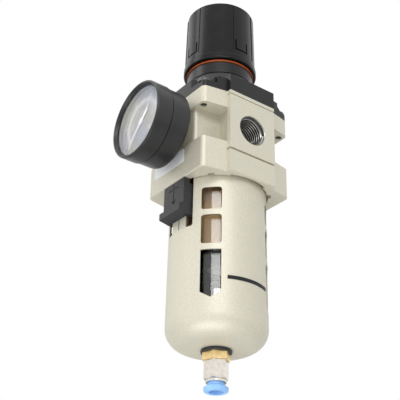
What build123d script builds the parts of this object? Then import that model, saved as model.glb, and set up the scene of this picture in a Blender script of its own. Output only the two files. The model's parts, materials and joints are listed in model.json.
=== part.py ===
"""Inline filter regulator with a dial gauge, a windowed bowl guard and a push-in drain.

Millimetres, +Z up. The origin is the middle of the inlet port's mouth and +X runs along
the flow. The upright axis of the body, knob and bowl stands half a port span from it.
"""

import os
from math import cos, radians, sin, sqrt

from build123d import *

# General clearances
running_gap = 0.3
thread_gap = 0.1
seal_gap = 0.1
snug_gap = 0.05
overcut = 1.0

# Radii of bowl, guard and bayonet, which set the size of the casting round them
bowl_radius = 27.6
guard_gap = 1.8
guard_wall = 1.3
lug_reach = 2.0
guard_top_radius = bowl_radius + guard_gap + guard_wall
lug_channel_radius = guard_top_radius + lug_reach + running_gap

# Ports and their flat end faces
port_wall = 2.0
port_span = 2 * (lug_channel_radius + port_wall)
port_face_width = 36.2
port_bore_radius = 9.9
port_chamfer = 0.45
port_depth = 18.0
port_lip = 3.2
axis_x = port_span / 2
flank_reach = axis_x - port_lip

# Casting, in plan: slanted flanks run from the port faces to rounded corners
corner_reach = 28.5
skirt_wall = 1.6
corner_round = 3.2
boss_width = 30.6
waist_root_reach = 20.4
waist_corner_reach = 17.9
waist_step = 1.6
waist_round = 2.4
front_reach = lug_channel_radius + skirt_wall
waist_front_reach = front_reach - waist_step

# Casting, in height
flange_top = 24.0
flange_thickness = 11.9
skirt_top = -13.2
skirt_height = 21.4
skirt_roof = 3.3
edge_break = 0.6
flange_bottom = flange_top - flange_thickness
skirt_bottom = skirt_top - skirt_height
cavity_top = skirt_top - skirt_roof

# Shallow grooves round the port faces, above and below the port
upper_groove_bottom = 20.9
upper_groove_height = 0.8
upper_groove_depth = 0.8
lower_groove_bottom = -19.8
lower_groove_height = 1.6
lower_groove_depth = 1.5

# Chambers and passages in the casting
chamber_radius = 19.0
chamber_floor = 13.5
orifice_radius = 5.0
valve_seat_height = 4.0
guide_bore_radius = 11.0
inlet_drop_radius = 4.5
outlet_slot_lip = 0.9
outlet_slot_height = 4.4
outlet_slot_width = 8.0

# Diaphragm
diaphragm_radius = 23.4
diaphragm_thickness = 1.6
diaphragm_lift = 2.5
diaphragm_hole_gap = 0.3

# Screws that hold the bonnet
screw_side_margin = 4.3
screw_front_margin = 3.6
screw_radius = 2.1
screw_end_gap = 1.0
screw_head_radius = 4.2
screw_head_height = 3.0
screw_head_round = 1.35
screw_socket_radius = 1.9
screw_socket_depth = 1.4
screw_spread_x = 2 * (corner_reach - screw_side_margin)
screw_spread_y = 2 * (front_reach - screw_front_margin)

# Gauge ports, front and rear
gauge_port_radius = 4.7
gauge_port_depth = 17.0
gauge_duct_radius = 1.5

# Spring housing, and the neck and collar below it
housing_radius = 21.0
housing_wall = 4.0
housing_top = 95.0
housing_roof = 4.0
shoulder_radius = 28.0
neck_step = 1.9
neck_top = 48.3
neck_groove_step = 0.9
collar_bottom = 49.6
collar_step = 1.4
band_bottom = 57.9
lower_bore_top = 33.5
key_groove_width = 4.0
key_groove_depth = 1.6
spring_bore_radius = housing_radius - housing_wall
key_groove_reach = spring_bore_radius + key_groove_depth
housing_ceiling = housing_top - housing_roof

# Corner pads and blocks of the bonnet
pad_thickness = 4.5
side_block_height = 13.0
side_block_bevel = 0.8
front_block_height = 12.2
front_block_width = 33.0
front_block_bevel = 1.2
front_block_round = 2.5
flank_block_height = 10.8
flank_block_reach = 25.2
flank_block_bevel = 0.8
gusset_length = 4.5
gusset_width = 4.2
gusset_reach = 29.2
shoulder_foot = 9.6
pad_top = flange_top + pad_thickness

# Coloured band that shows while the knob is unlocked
band_step = 1.95
band_height = 1.2
band_radius = housing_radius + band_step

# Knob
knob_bottom = 59.5
knob_top = 107.9
knob_gap = 0.35
knob_wall = 1.95
knob_flare = 0.9
knob_rim_gap = 0.4
knob_rim_wall = 1.55
knob_rim_height = 5.2
knob_rim_slope = 1.0
knob_rim_round = 1.2
grip_step = 0.45
grip_count = 8
grip_gap_angle = 15.6
grip_gap_foot = 3.0
knob_top_round = 1.6
knob_roof = 3.9
knob_travel = 2.5
latch_count = 4
latch_width = 10.2
latch_height = 8.6
latch_slot = 1.1
latch_bottom = 68.8
latch_depth = 1.4
knob_bore_radius = housing_radius + knob_gap
grip_high_radius = knob_bore_radius + knob_wall
grip_low_radius = grip_high_radius + knob_flare
knob_rim_bore = band_radius + knob_rim_gap
knob_rim_radius = knob_rim_bore + knob_rim_wall
knob_ceiling = knob_top - knob_roof
grip_bottom = knob_bottom + knob_rim_height

# Adjusting screw and its hexagonal drive in the knob
shaft_radius = 3.9
screw_tail = 6.0
thrust_radius = 8.0
thrust_height = 2.3
screw_neck_radius = 5.0
drive_across_flats = 9.0
drive_gap = 0.15
drive_boss_radius = 8.0
drive_height = knob_ceiling - housing_top - knob_travel - running_gap

# Main spring, the seat above it and the plate below it
main_spring_radius = 11.2
main_spring_wire = 1.5
main_spring_turns = 6
spring_margin = 1.1
seat_drop = 2.7
seat_travel = 7.5
seat_plate_thickness = 3.0
seat_hub_radius = 7.0
seat_hub_height = 9.0
plate_thickness = 2.0
plate_boss_height = 4.0
plate_radius = main_spring_radius + main_spring_wire
plate_boss_radius = main_spring_radius - main_spring_wire - spring_margin
seat_plate_radius = plate_radius + spring_margin
seat_top = housing_ceiling - thrust_height - seat_drop
diaphragm_flat_radius = plate_radius + running_gap

# Relief seat, riveted through the diaphragm
relief_radius = 7.0
relief_thickness = 2.2
relief_hole_radius = 1.0
rivet_radius = 3.1
diaphragm_hole_radius = rivet_radius + diaphragm_hole_gap
diaphragm_rim = flange_top - diaphragm_thickness
relief_top = diaphragm_rim + diaphragm_lift
plate_bottom = relief_top + diaphragm_thickness
plate_top = plate_bottom + plate_thickness
rivet_top = plate_top + plate_boss_height

# Valve, its spring and guide
valve_travel = 1.0
valve_rod_radius = 1.6
valve_radius = 7.5
valve_thickness = 2.6
valve_pin_radius = 3.0
valve_pin_gap = 0.2
valve_pin_length = 15.0
valve_spring_radius = 5.0
valve_spring_wire = 0.5
valve_spring_turns = 4
guide_plug_height = 8.4
guide_flange_radius = 13.5
guide_flange_thickness = 3.0
guide_tube_radius = 6.0
guide_hole_count = 6
guide_hole_radius = 1.4
guide_hole_reach = 8.3
valve_face = valve_seat_height - seal_gap
valve_back = valve_face - valve_thickness
valve_pin_bottom = valve_back - valve_pin_length
guide_top = cavity_top + guide_plug_height
guide_flange_bottom = cavity_top - guide_flange_thickness

# Bowl
bowl_wall = 2.2
bowl_rim_step = 0.7
bowl_rim_height = 10.0
bowl_seal_depth = 1.7
bowl_seal_height = 2.6
bowl_seal_drop = 5.6
bowl_rim_radius = bowl_radius + bowl_rim_step
bowl_top = cavity_top - running_gap

# Filter element with its deflector and retainer
deflector_gap = 0.8
deflector_thickness = 2.6
deflector_slot_count = 12
deflector_slot_width = 2.2
deflector_slot_length = 5.0
element_radius = 20.0
element_wall = 4.5
element_length = 55.9
retainer_radius = 22.5
retainer_thickness = 2.0
retainer_rim_height = 4.0
retainer_nut_radius = 9.0
retainer_nut_height = 5.0
deflector_radius = bowl_radius - bowl_wall - deflector_gap
deflector_bottom = guide_flange_bottom - deflector_thickness
element_bottom = deflector_bottom - element_length
retainer_bottom = element_bottom - retainer_thickness
guide_tube_bottom = retainer_bottom - retainer_nut_height

# Bowl guard, whose foot dips to a flat middle
guard_flare = 0.35
guard_top = -28.0
guard_bottom = -136.0
guard_round = 12.0
guard_straight = 10.6
guard_hole_gap = 0.4
foot_rise = 1.4
foot_flat_radius = 11.5
taper_top = guard_top - guard_straight
guard_low_radius = guard_top_radius + guard_flare
guard_floor = guard_bottom + guard_wall

# Sight windows in the guard
window_angles = (-135, -45, 45, 135)
window_width = 12.5
window_round = 1.8
upper_window_top = -42.3
upper_window_bottom = -57.4
middle_window_top = -61.0
middle_window_bottom = -80.2
lower_window_top = -84.0
lower_window_bottom = -110.9
window_point_drop = 3.5

# Bayonet between guard and skirt
ledge_thickness = 3.0
ledge_gap = 0.9
ledge_root = 0.5
lug_angle = 36.0
lug_root = 0.6
lug_height = 3.1
lug_centres = (45, 225)
entry_angle = 48.0
entry_centres = (0, 180)
index_notch_angles = (-134.5, -45.5, 45.5, 134.5)
index_notch_width = 4.2
guard_cavity_top = guard_top + running_gap

# Lock button on the guard, in its two guide slots
button_width = 21.0
button_height = 24.5
button_travel = 5.0
button_ledge_height = 7.1
button_ledge_reach = 3.0
button_ledge_bevel = 1.4
pad_width = 13.4
pad_depth = 0.7
slot_width = 5.2
slot_top = -33.0
slot_end_gap = 2.5
slot_round = 1.2
leg_gap = 0.4
leg_foot = 1.0
pad_face = guard_top_radius - pad_depth
leg_thickness = (button_width - pad_width) / 2 - leg_gap
button_top = skirt_bottom - running_gap
button_bottom = button_top - button_height
button_back = pad_face + running_gap
slot_bottom = button_bottom - button_travel - slot_end_gap

# Spring under the lock button, on a tab of the guard
lock_spring_radius = 1.15
lock_spring_wire = 0.25
lock_spring_turns = 5
lock_spring_length = 10.0
lock_spring_depth = 1.5
spring_pocket_width = 3.6
spring_pocket_depth = 3.0
spring_tab_height = 1.6
spring_tab_drop = 17.1
spring_tab_top = button_top - spring_tab_drop

# Drain inside and below the bowl
drain_bore_radius = 2.2
drain_thread_radius = 5.8
bowl_neck_wall = 2.1
drain_flange_radius = 10.5
drain_flange_thickness = 2.4
drain_stalk_radius = 3.4
drain_stalk_end = 1.8
float_radius = 13.0
float_height = 18.0
float_bevel = 1.5
float_travel = 4.0
drain_washer_radius = 9.5
drain_washer_thickness = 1.9
drain_washer_round = 0.8
drain_nut_across_flats = 15.0
drain_nut_height = 4.9
hexagon_chamfer = 0.9
hexagon_turn = 9.0
bowl_neck_radius = drain_thread_radius + thread_gap + bowl_neck_wall
drain_floor = guard_floor + bowl_wall
drain_flange_top = drain_floor + drain_flange_thickness
drain_washer_bottom = guard_bottom - drain_washer_thickness
drain_nut_bottom = drain_washer_bottom - drain_nut_height

# Push-in fitting for the drain tube
fitting_across_flats = 13.2
fitting_height = 11.2
fitting_lip_radius = 6.2
fitting_lip_height = 1.5
fitting_spigot_radius = 4.4
fitting_spigot_height = 6.0
tube_radius = 4.05
tube_depth = 14.0
socket_radius = 5.5
socket_depth = 9.5
fitting_seal_height = 1.8
grab_ring_height = 1.0
fitting_bottom = drain_nut_bottom - fitting_height
lip_bottom = fitting_bottom - fitting_lip_height
tube_stop = lip_bottom + tube_depth
socket_top = lip_bottom + socket_depth
tube_seal_bottom = socket_top - fitting_seal_height

# Release ring below the fitting
release_travel = 1.2
release_flange_radius = 7.35
release_flange_height = 2.6
release_flange_round = 1.15
release_cone_height = 1.4
release_hole_radius = 4.3
release_sleeve_height = 3.4

# Gauge, measured from the upright axis towards the front
gauge_radius = 25.9
bezel_depth = 10.9
bezel_lip = 2.7
bezel_lip_thickness = 1.9
bezel_lip_slope = 1.2
bezel_round = 1.1
lens_overlap = 0.6
lens_thickness = 1.5
stem_hexagon_length = 7.0
gauge_case_step = 0.6
gauge_case_depth = 15.1
gauge_case_wall = 2.0
gauge_case_round = 3.5
case_rim_length = 2.5
case_spigot_wall = 1.5
seam_width = 0.8
seam_depth = 0.7
dial_thickness = 0.6
dial_gap = 2.0
bezel_opening_radius = gauge_radius - bezel_lip
dial_radius = bezel_opening_radius + lens_overlap
gauge_back = waist_front_reach + stem_hexagon_length
case_front = gauge_back + gauge_case_depth
gauge_front = case_front + bezel_depth
lens_front = gauge_front - bezel_lip_thickness
lens_back = lens_front - lens_thickness
dial_face = lens_back - dial_gap
dial_back = dial_face - dial_thickness

# Pointer and its shaft; the angle is that of the zero mark, seen from the front
pointer_zero = 225.0
pointer_tip = 19.0
pointer_tail = 9.0
pointer_tip_width = 0.4
pointer_hub_width = 1.6
pointer_tail_width = 2.2
pointer_thickness = 0.5
pointer_gap = 0.6
pointer_hub_radius = 2.2
pointer_cap_radius = 1.5
pointer_shaft_radius = 0.8
pointer_shaft_length = 12.0

# Stem of the gauge, and the plug opposite
stem_across_flats = 12.0
stem_thread_length = 10.0
stem_spigot_radius = 5.0
stem_spigot_length = 5.0
stem_spigot_end = 2.0
plug_socket_across_flats = 5.0
plug_socket_depth = 4.0

# Directions and planes shared by all pieces
upright = Axis((axis_x, 0, 0), (0, 0, 1))
gauge_axis = Axis((axis_x, 0, 0), (0, -1, 0))
section = Plane(origin=(axis_x, 0, 0), x_dir=(1, 0, 0), z_dir=(0, -1, 0))


def level(height):
    """Horizontal sketch plane centred on the upright axis."""
    return Plane(origin=(axis_x, 0, height), x_dir=(1, 0, 0), z_dir=(0, 0, 1))


def around(angle, reach, height=0.0):
    """Upright plane that faces outwards at an angle about the upright axis."""
    outward = (cos(radians(angle)), sin(radians(angle)), 0)
    across = (-sin(radians(angle)), cos(radians(angle)), 0)
    centre = (axis_x + reach * outward[0], reach * outward[1], height)
    return Plane(origin=centre, x_dir=across, z_dir=outward)


def half_section(angle):
    """Section plane through the upright axis, turned by an angle."""
    return Plane(
        origin=(axis_x, 0, 0),
        x_dir=(cos(radians(angle)), sin(radians(angle)), 0),
        z_dir=(sin(radians(angle)), -cos(radians(angle)), 0),
    )


def facing_front(reach):
    """Upright plane in front of the axis, seen from the gauge side."""
    return Plane(origin=(axis_x, -reach, 0), x_dir=(1, 0, 0), z_dir=(0, -1, 0))


def facing_rear(reach):
    """Upright plane behind the axis, seen from the rear."""
    return Plane(origin=(axis_x, reach, 0), x_dir=(-1, 0, 0), z_dir=(0, 1, 0))


def disc(radius, low, high, mode=Mode.ADD):
    """Round block on the upright axis, added to the open part or cut from it."""
    with BuildSketch(level(low)) as face:
        Circle(radius)
    extrude(face.sketch, amount=high - low, mode=mode)


def gauge_disc(radius, near, far, mode=Mode.ADD):
    """Round block on the gauge's axis between two distances from the upright axis."""
    with BuildSketch(facing_front(near)) as face:
        Circle(radius)
    extrude(face.sketch, amount=far - near, mode=mode)


def casting_outline(height):
    """Plan of the flange and the skirt."""
    with BuildSketch(level(height)) as outline:
        with BuildLine():
            Polyline(
                (flank_reach, -port_face_width / 2),
                (corner_reach, -front_reach),
                (-corner_reach, -front_reach),
                (-flank_reach, -port_face_width / 2),
                (-flank_reach, port_face_width / 2),
                (-corner_reach, front_reach),
                (corner_reach, front_reach),
                (flank_reach, port_face_width / 2),
                close=True,
            )
        make_face()
        ends = outline.vertices().group_by(Axis.Y)
        fillet(ends[0] + ends[-1], corner_round)
    return outline.sketch


def port_outline(height):
    """Plan of the two port faces and what lies between them."""
    with BuildSketch(level(height)) as outline:
        Rectangle(port_span, port_face_width)
    return outline.sketch


def cup_section(top_radius, low_radius, top, foot, corner):
    """Half section of a round cup whose foot dips from a rounded corner to a flat middle."""
    with BuildSketch(section) as cup:
        with BuildLine():
            Polyline(
                (0, top),
                (top_radius, top),
                (top_radius, taper_top),
                (low_radius, foot + foot_rise),
                (foot_flat_radius, foot),
                (0, foot),
                close=True,
            )
        make_face()
        foot_corner = cup.vertices().group_by(Axis.Y)[1]
        fillet(foot_corner, corner)
    return cup.sketch


def bevelled_block(outline, height, bevel):
    """Block that stands on an outline and is bevelled round its top."""
    with BuildPart() as block:
        extrude(outline, amount=height)
        top_rim = block.edges().group_by(Axis.Z)[-1]
        chamfer(top_rim, bevel)
    return block.part


def turn_down_hexagon(across_flats, low, high):
    """Turns the lower corners of the open part, a hexagonal block, to a cone."""
    corner = across_flats / sqrt(3) + running_gap
    with BuildSketch(section) as turned:
        with BuildLine():
            Polyline(
                (0, low),
                (across_flats / 2, low),
                (corner, low + hexagon_chamfer),
                (corner, high),
                (0, high),
                close=True,
            )
        make_face()
    revolve(turned.sketch, axis=upright, mode=Mode.INTERSECT)


def coil(radius, wire, low, high, turns, reach=0.0):
    """Round-wire coil that stands between two heights, a reach in front of the axis."""
    pitch = (high - low - 2 * wire) / turns
    path = Helix(pitch, pitch * turns, radius, center=(axis_x, -reach, low + wire))
    with BuildSketch(Plane(origin=path @ 0, x_dir=(1, 0, 0), z_dir=path % 0)) as wire_face:
        Circle(wire)
    sweep(wire_face.sketch, path=path)


# Casting
with BuildPart() as body_casting:
    extrude(casting_outline(flange_bottom), amount=flange_thickness)
    extrude(port_outline(flange_bottom), amount=flange_thickness)
    extrude(casting_outline(skirt_bottom), amount=skirt_height)
    extrude(port_outline(skirt_bottom), amount=skirt_height)
    with BuildSketch(level(skirt_top)) as waist:
        with BuildLine():
            Polyline(
                (waist_root_reach, -boss_width / 2),
                (waist_corner_reach, -waist_front_reach),
                (-waist_corner_reach, -waist_front_reach),
                (-waist_root_reach, -boss_width / 2),
                (-waist_root_reach, boss_width / 2),
                (-waist_corner_reach, waist_front_reach),
                (waist_corner_reach, waist_front_reach),
                (waist_root_reach, boss_width / 2),
                close=True,
            )
        make_face()
        waist_ends = waist.vertices().group_by(Axis.Y)
        fillet(waist_ends[0] + waist_ends[-1], waist_round)
        Rectangle(2 * flank_reach, boss_width)
        with Locations((axis_x - port_lip / 2, 0), (port_lip / 2 - axis_x, 0)):
            Rectangle(port_lip, port_face_width)
    extrude(amount=flange_bottom - skirt_top)
    skirt_rim = body_casting.edges().group_by(Axis.Z)[0]
    chamfer(skirt_rim, edge_break)

    # Grooves round the port faces
    for groove_bottom, groove_height, groove_depth in (
        (upper_groove_bottom, upper_groove_height, upper_groove_depth),
        (lower_groove_bottom, lower_groove_height, lower_groove_depth),
    ):
        with BuildSketch(level(groove_bottom)):
            Rectangle(port_span + overcut, port_face_width + overcut)
            Rectangle(
                port_span - 2 * groove_depth,
                port_face_width - 2 * groove_depth,
                mode=Mode.SUBTRACT,
            )
            Rectangle(2 * flank_reach, port_face_width + 2 * overcut, mode=Mode.SUBTRACT)
        extrude(amount=groove_height, mode=Mode.SUBTRACT)

    # Threaded ports, bored from both port faces
    with Locations(
        Plane(origin=(0, 0, 0), x_dir=(0, 1, 0), z_dir=(-1, 0, 0)),
        Plane(origin=(port_span, 0, 0), x_dir=(0, 1, 0), z_dir=(1, 0, 0)),
    ):
        CounterSinkHole(
            port_bore_radius,
            port_bore_radius + port_chamfer,
            depth=port_depth,
            counter_sink_angle=90,
        )

    # Diaphragm seat, outlet chamber, orifice and valve bore
    disc(diaphragm_radius + seal_gap, diaphragm_rim, flange_top, Mode.SUBTRACT)
    disc(chamber_radius, chamber_floor, flange_top, Mode.SUBTRACT)
    disc(orifice_radius, valve_seat_height, chamber_floor, Mode.SUBTRACT)
    disc(guide_bore_radius, cavity_top, valve_seat_height, Mode.SUBTRACT)

    # Outlet slot from the orifice, and the drop from the inlet port to the bowl
    outlet_slot_middle = valve_seat_height + outlet_slot_lip + outlet_slot_height / 2
    with BuildSketch(Plane(origin=(axis_x, 0, outlet_slot_middle), x_dir=(0, 1, 0), z_dir=(1, 0, 0))):
        Rectangle(outlet_slot_width, outlet_slot_height)
    extrude(amount=axis_x - port_depth, mode=Mode.SUBTRACT)
    inlet_drop_reach = axis_x - port_depth + inlet_drop_radius + overcut
    with BuildSketch(level(cavity_top)):
        with Locations((-inlet_drop_reach, 0)):
            Circle(inlet_drop_radius)
    extrude(amount=-cavity_top, mode=Mode.SUBTRACT)

    # Bowl cavity, the bayonet ledge with its two entries, and the index notches
    disc(bowl_rim_radius + running_gap, guard_cavity_top, cavity_top, Mode.SUBTRACT)
    disc(lug_channel_radius, skirt_bottom, guard_cavity_top, Mode.SUBTRACT)
    ledge_bore = guard_top_radius + ledge_gap
    ledge_width = lug_channel_radius + ledge_root - ledge_bore
    for entry_centre in entry_centres:
        with BuildSketch(half_section(entry_centre + entry_angle / 2)):
            with Locations((ledge_bore + ledge_width / 2, skirt_bottom + ledge_thickness / 2)):
                Rectangle(ledge_width, ledge_thickness)
        revolve(axis=upright, revolution_arc=180 - entry_angle)
    for notch_angle in index_notch_angles:
        with BuildSketch(around(notch_angle, guard_top_radius, skirt_bottom)):
            Rectangle(index_notch_width, 2 * ledge_thickness)
        extrude(amount=lug_reach + ledge_gap, mode=Mode.SUBTRACT)

    # Gauge ports with their ducts up to the outlet chamber
    for gauge_side in (facing_front(waist_front_reach), facing_rear(waist_front_reach)):
        with BuildSketch(gauge_side):
            Circle(gauge_port_radius)
        extrude(amount=-gauge_port_depth, mode=Mode.SUBTRACT)
    duct_reach = waist_front_reach - gauge_port_depth + gauge_duct_radius + running_gap
    with BuildSketch(level(0)):
        with Locations((0, -duct_reach), (0, duct_reach)):
            Circle(gauge_duct_radius)
    extrude(amount=chamber_floor, mode=Mode.SUBTRACT)

    # Holes for the bonnet screws
    with BuildSketch(level(flange_bottom)):
        with GridLocations(screw_spread_x, screw_spread_y, 2, 2):
            Circle(screw_radius + thread_gap)
    extrude(amount=flange_thickness, mode=Mode.SUBTRACT)
body_casting.part.label = "body_casting"

# Diaphragm: a shallow dome clamped at its rim
with BuildPart() as diaphragm:
    with BuildSketch(section):
        with BuildLine():
            Polyline(
                (diaphragm_hole_radius, relief_top),
                (diaphragm_flat_radius, relief_top),
                (chamber_radius, diaphragm_rim),
                (diaphragm_radius, diaphragm_rim),
                (diaphragm_radius, diaphragm_rim + diaphragm_thickness),
                (chamber_radius, diaphragm_rim + diaphragm_thickness),
                (diaphragm_flat_radius, relief_top + diaphragm_thickness),
                (diaphragm_hole_radius, relief_top + diaphragm_thickness),
                close=True,
            )
        make_face()
    revolve(axis=upright)
diaphragm.part.label = "diaphragm"

# Bonnet: corner pads, blocks on all sides, neck, collar and spring housing
with BuildSketch(level(flange_top)) as front_block_outline:
    RectangleRounded(front_block_width, 2 * front_reach, front_block_round)
front_blocks = bevelled_block(front_block_outline.sketch, front_block_height, front_block_bevel)
side_blocks = bevelled_block(port_outline(flange_top), side_block_height, side_block_bevel)
with BuildPart() as bonnet:
    extrude(casting_outline(flange_top), amount=flank_block_height)
    with BuildSketch(level(flange_top)):
        Rectangle(port_span, 2 * flank_block_reach)
    extrude(amount=flank_block_height, mode=Mode.INTERSECT)
    flank_block_rim = bonnet.edges().group_by(Axis.Z)[-1]
    chamfer(flank_block_rim, flank_block_bevel)
    extrude(casting_outline(flange_top), amount=pad_thickness)
    add(front_blocks)
    add(side_blocks)

    # Gussets that run down from the flank blocks to the corner pads
    gusset_top = flange_top + flank_block_height - flank_block_bevel
    for gusset_start in (gusset_reach - gusset_width, -gusset_reach):
        with BuildSketch(Plane(origin=(axis_x + gusset_start, 0, 0), x_dir=(0, 1, 0), z_dir=(1, 0, 0))):
            with BuildLine():
                Polyline(
                    (-flank_block_reach - gusset_length, pad_top),
                    (-flank_block_reach, gusset_top),
                    (flank_block_reach, gusset_top),
                    (flank_block_reach + gusset_length, pad_top),
                    close=True,
                )
            make_face()
        extrude(amount=gusset_width)
    with BuildSketch(section):
        with BuildLine():
            Polyline(
                (0, flange_top),
                (shoulder_radius, flange_top),
                (shoulder_radius, flange_top + shoulder_foot),
                (housing_radius + neck_step, neck_top),
                (housing_radius + neck_groove_step, neck_top),
                (housing_radius + neck_groove_step, collar_bottom),
                (housing_radius + collar_step, collar_bottom),
                (housing_radius + collar_step, band_bottom),
                (housing_radius, band_bottom),
                (housing_radius, housing_top),
                (0, housing_top),
                close=True,
            )
        make_face()
    revolve(axis=upright)
    disc(chamber_radius, flange_top, lower_bore_top, Mode.SUBTRACT)
    disc(spring_bore_radius, lower_bore_top, housing_ceiling, Mode.SUBTRACT)
    disc(screw_neck_radius + thread_gap, housing_ceiling, housing_top, Mode.SUBTRACT)
    with BuildSketch(level(lower_bore_top)):
        Rectangle(2 * key_groove_reach, key_groove_width)
    extrude(amount=housing_ceiling - lower_bore_top, mode=Mode.SUBTRACT)
    with BuildSketch(level(flange_top)):
        with GridLocations(screw_spread_x, screw_spread_y, 2, 2):
            Circle(screw_radius + thread_gap)
    extrude(amount=pad_thickness, mode=Mode.SUBTRACT)
    with BuildSketch(level(pad_top)):
        with GridLocations(screw_spread_x, screw_spread_y, 2, 2):
            Circle(screw_head_radius + running_gap)
    extrude(amount=front_block_height, mode=Mode.SUBTRACT)
bonnet.part.label = "bonnet"

# Bonnet screws with socketed pan heads
with BuildPart() as bonnet_screws:
    with BuildSketch(level(flange_bottom + screw_end_gap)):
        with GridLocations(screw_spread_x, screw_spread_y, 2, 2):
            Circle(screw_radius)
    extrude(amount=pad_top - flange_bottom - screw_end_gap)
    with BuildSketch(level(pad_top)):
        with GridLocations(screw_spread_x, screw_spread_y, 2, 2):
            Circle(screw_head_radius)
    extrude(amount=screw_head_height)
    head_rims = bonnet_screws.edges().group_by(Axis.Z)[-1]
    fillet(head_rims, screw_head_round)
    with BuildSketch(level(pad_top + screw_head_height)):
        with GridLocations(screw_spread_x, screw_spread_y, 2, 2):
            Circle(screw_socket_radius)
    extrude(amount=-screw_socket_depth, mode=Mode.SUBTRACT)
bonnet_screws.part.label = "bonnet_screws"

# Coloured band at the foot of the spring housing
with BuildPart() as colour_band:
    disc(band_radius, band_bottom, band_bottom + band_height)
    disc(housing_radius, band_bottom, band_bottom + band_height, Mode.SUBTRACT)
colour_band.part.label = "colour_band"

# Knob: a cup with raised grips, latch slots and a hexagonal driver
with BuildPart() as knob:
    with BuildSketch(section) as knob_outline:
        with BuildLine():
            Polyline(
                (0, knob_bottom),
                (knob_rim_radius, knob_bottom),
                (knob_rim_radius, grip_bottom - knob_rim_slope),
                (grip_low_radius, grip_bottom),
                (grip_high_radius, knob_top),
                (0, knob_top),
                close=True,
            )
        make_face()
        top_corner = knob_outline.vertices().group_by(Axis.Y)[-1].sort_by(Axis.X)[-1]
        fillet(top_corner, knob_top_round)
        rim_corner = knob_outline.vertices().group_by(Axis.Y)[0].sort_by(Axis.X)[-1]
        fillet(rim_corner, knob_rim_round)
    revolve(axis=upright)
    disc(knob_rim_bore, knob_bottom, grip_bottom - knob_rim_slope, Mode.SUBTRACT)
    disc(knob_bore_radius, grip_bottom - knob_rim_slope, knob_ceiling, Mode.SUBTRACT)

    # Sunk strips between the grips
    for grip in range(grip_count):
        gap_start = 360 / grip_count * (grip + 0.5) - grip_gap_angle / 2
        with BuildSketch(half_section(gap_start)):
            with BuildLine():
                Polyline(
                    (grip_low_radius - grip_step, grip_bottom + grip_gap_foot),
                    (grip_low_radius + overcut, grip_bottom + grip_gap_foot),
                    (grip_high_radius + overcut, knob_top + overcut),
                    (grip_high_radius - grip_step, knob_top + overcut),
                    close=True,
                )
            make_face()
        revolve(axis=upright, revolution_arc=grip_gap_angle, mode=Mode.SUBTRACT)

    # U-shaped slots that outline the latch tongues
    for latch in range(latch_count):
        latch_plane = around(360 / latch_count * latch, grip_low_radius - latch_depth, latch_bottom)
        with BuildSketch(latch_plane):
            with Locations((0, latch_height / 2)):
                Rectangle(latch_width, latch_height)
            with Locations((0, latch_height / 2 + latch_slot)):
                Rectangle(latch_width - 2 * latch_slot, latch_height, mode=Mode.SUBTRACT)
        extrude(amount=latch_depth + overcut, mode=Mode.SUBTRACT)

    # Driver boss below the roof
    boss_bottom = housing_top + knob_travel + running_gap
    disc(drive_boss_radius, boss_bottom, knob_ceiling)
    with BuildSketch(level(boss_bottom)):
        RegularPolygon(drive_across_flats / 2 + drive_gap, 6, major_radius=False)
    extrude(amount=knob_ceiling - boss_bottom, mode=Mode.SUBTRACT)
knob.part.label = "knob"

# Adjusting screw, turned by the knob
with BuildPart() as adjusting_screw:
    shaft_bottom = seat_top - seat_hub_height - seat_travel - screw_tail
    disc(shaft_radius, shaft_bottom, housing_ceiling)
    disc(thrust_radius, housing_ceiling - thrust_height, housing_ceiling)
    disc(screw_neck_radius, housing_ceiling, housing_top)
    with BuildSketch(level(housing_top)):
        RegularPolygon(drive_across_flats / 2, 6, major_radius=False)
    extrude(amount=drive_height)
adjusting_screw.part.label = "adjusting_screw"

# Spring seat: a nut on the screw, kept from turning by two keys
with BuildPart() as spring_seat:
    disc(seat_hub_radius, seat_top - seat_hub_height, seat_top)
    disc(seat_plate_radius, seat_top - seat_plate_thickness, seat_top)
    with BuildSketch(level(seat_top - seat_plate_thickness)):
        Rectangle(2 * (key_groove_reach - running_gap), key_groove_width - 2 * running_gap)
    extrude(amount=seat_plate_thickness)
    disc(shaft_radius + thread_gap, seat_top - seat_hub_height, seat_top, Mode.SUBTRACT)
spring_seat.part.label = "spring_seat"

# Plate on top of the diaphragm, with a boss that centres the spring
with BuildPart() as diaphragm_plate:
    disc(plate_radius, plate_bottom, plate_top)
    disc(plate_boss_radius, plate_top, rivet_top)
    disc(rivet_radius, plate_bottom, rivet_top, Mode.SUBTRACT)
diaphragm_plate.part.label = "diaphragm_plate"

# Main spring between the diaphragm plate and the spring seat
with BuildPart() as adjusting_spring:
    coil(
        main_spring_radius,
        main_spring_wire,
        plate_top,
        seat_top - seat_plate_thickness,
        main_spring_turns,
    )
adjusting_spring.part.label = "adjusting_spring"

# Relief seat below the diaphragm, riveted through it
with BuildPart() as relief_seat:
    disc(relief_radius, relief_top - relief_thickness, relief_top)
    disc(rivet_radius, relief_top, rivet_top)
    disc(relief_hole_radius, relief_top - relief_thickness, rivet_top, Mode.SUBTRACT)
relief_seat.part.label = "relief_seat"

# Valve rod with the guide pin below the valve
with BuildPart() as valve_rod:
    disc(valve_rod_radius, valve_back, relief_top - relief_thickness)
    disc(valve_pin_radius, valve_pin_bottom, valve_back)
valve_rod.part.label = "valve_rod"

# Valve seal, bonded round the rod
with BuildPart() as valve_seal:
    disc(valve_radius, valve_back, valve_face)
    disc(valve_rod_radius, valve_back, valve_face, Mode.SUBTRACT)
valve_seal.part.label = "valve_seal"

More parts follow.
